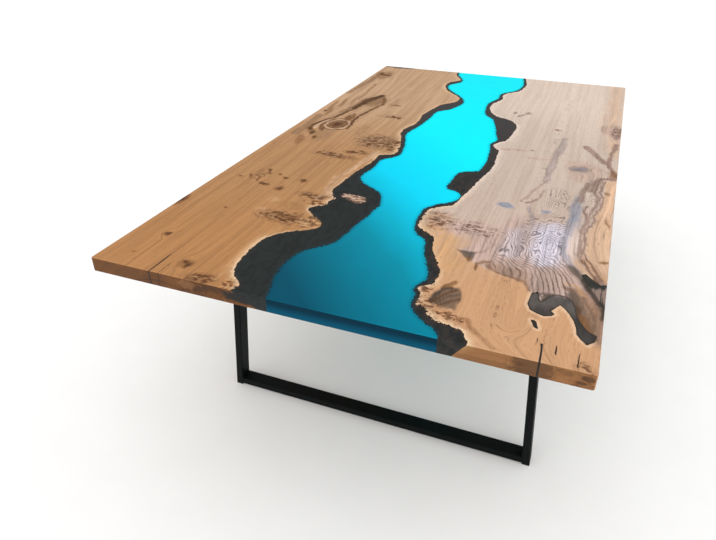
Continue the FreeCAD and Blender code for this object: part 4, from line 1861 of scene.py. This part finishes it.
@dataclass
class Studio:
    """Pale floor, soft light and the camera."""

    camera_place: Triple = (0.528, -2.1715, 1.5426)
    camera_tilt: float = 58.865
    camera_turn: float = 21.714
    lens: float = 30.82
    sensor: float = 36.0
    floor_size: float = 40.0
    floor_pale: Colour = paint(250, 250, 249)
    floor_shade: Colour = paint(245, 245, 244)
    bright_side: Triple = (0.1, -0.5, 0.85)
    dim_below: float = -0.2
    dim_light: float = 0.12
    bright_light: float = 1.72

    def place_camera(self) -> None:
        """Sets up the camera at the photograph's viewing angle."""
        data = bpy.data.cameras.new("table_camera")
        data.sensor_fit = "HORIZONTAL"
        data.sensor_width = self.sensor
        data.lens = self.lens
        camera = bpy.data.objects.new("table_camera", data)
        camera.location = self.camera_place
        camera.rotation_euler = (math.radians(self.camera_tilt), 0.0, math.radians(self.camera_turn))
        bpy.context.scene.collection.objects.link(camera)
        bpy.context.scene.camera = camera

    def lay_floor(self) -> None:
        """Lays a pale floor that isn't part of the table."""
        bm = bmesh.new()
        bmesh.ops.create_grid(bm, x_segments=1, y_segments=1, size=self.floor_size / 2)
        mesh = bpy.data.meshes.new("studio_floor")
        bm.to_mesh(mesh)
        bm.free()
        graph = Graph("studio_floor")
        speckle = graph.noise(graph.place(), (6, 6, 6), 4)
        colour = graph.mix(speckle, self.floor_shade, self.floor_pale)
        mesh.materials.append(graph.finish(Base_Color=colour, Roughness=0.9, Specular_IOR_Level=0.1))
        floor = bpy.data.objects.new("studio_floor", mesh)
        bpy.context.scene.collection.objects.link(floor)

    def make_air(self) -> bpy.types.World:
        """Makes soft light that is brightest from above the camera's side.

        Returns:
            The world that holds the light.
        """
        world = bpy.data.worlds.new("studio_air")
        world.use_nodes = True
        nodes = world.node_tree.nodes
        direction = nodes.new("ShaderNodeTexCoord")
        towards = nodes.new("ShaderNodeVectorMath")
        towards.operation = "DOT_PRODUCT"
        towards.inputs[1].default_value = Vector(self.bright_side).normalized()
        brightness = nodes.new("ShaderNodeMapRange")
        brightness.inputs["From Min"].default_value = self.dim_below
        brightness.inputs["To Min"].default_value = self.dim_light
        brightness.inputs["To Max"].default_value = self.bright_light
        world.node_tree.links.new(direction.outputs["Generated"], towards.inputs[0])
        world.node_tree.links.new(towards.outputs["Value"], brightness.inputs["Value"])
        background = nodes["Background"]
        background.inputs["Color"].default_value = (1.0, 1.0, 1.0, 1.0)
        world.node_tree.links.new(brightness.outputs[0], background.inputs["Strength"])
        return world

    def build(self) -> None:
        """Builds the whole studio."""
        scene = bpy.context.scene
        scene.view_settings.view_transform = "Standard"
        scene.world = self.make_air()
        self.lay_floor()
        self.place_camera()


def build_table() -> None:
    """Builds and dresses every piece of the table, then the studio."""
    left = Slab("left_slab", LEFT_FIGURE, LEFT_GRAIN, LEFT_KNOTS)
    right = Slab("right_slab", RIGHT_FIGURE, RIGHT_GRAIN, RIGHT_KNOTS, VOIDS[:3])
    for slab in (left, right):
        slab.dress(slab.build())
    bark = BarkFinish().material()
    for side in ("left", "right"):
        lining = BarkLining(side + "_bark_lining", side + "_slab")
        lining.dress(lining.build(bark))
    river = River()
    river.dress(river.build())
    heart = HEART_RESIN.material()
    black = BLACK_RESIN.material()
    for fill in map(Fill, VOIDS):
        fill.dress(fill.build(heart if fill.node == HEART_VOID else black))
    LegFrames().build()
    Studio().build()


if __name__ == "__main__":
    logging.basicConfig(level=logging.INFO, format="%(name)s: %(message)s")
    build_table()
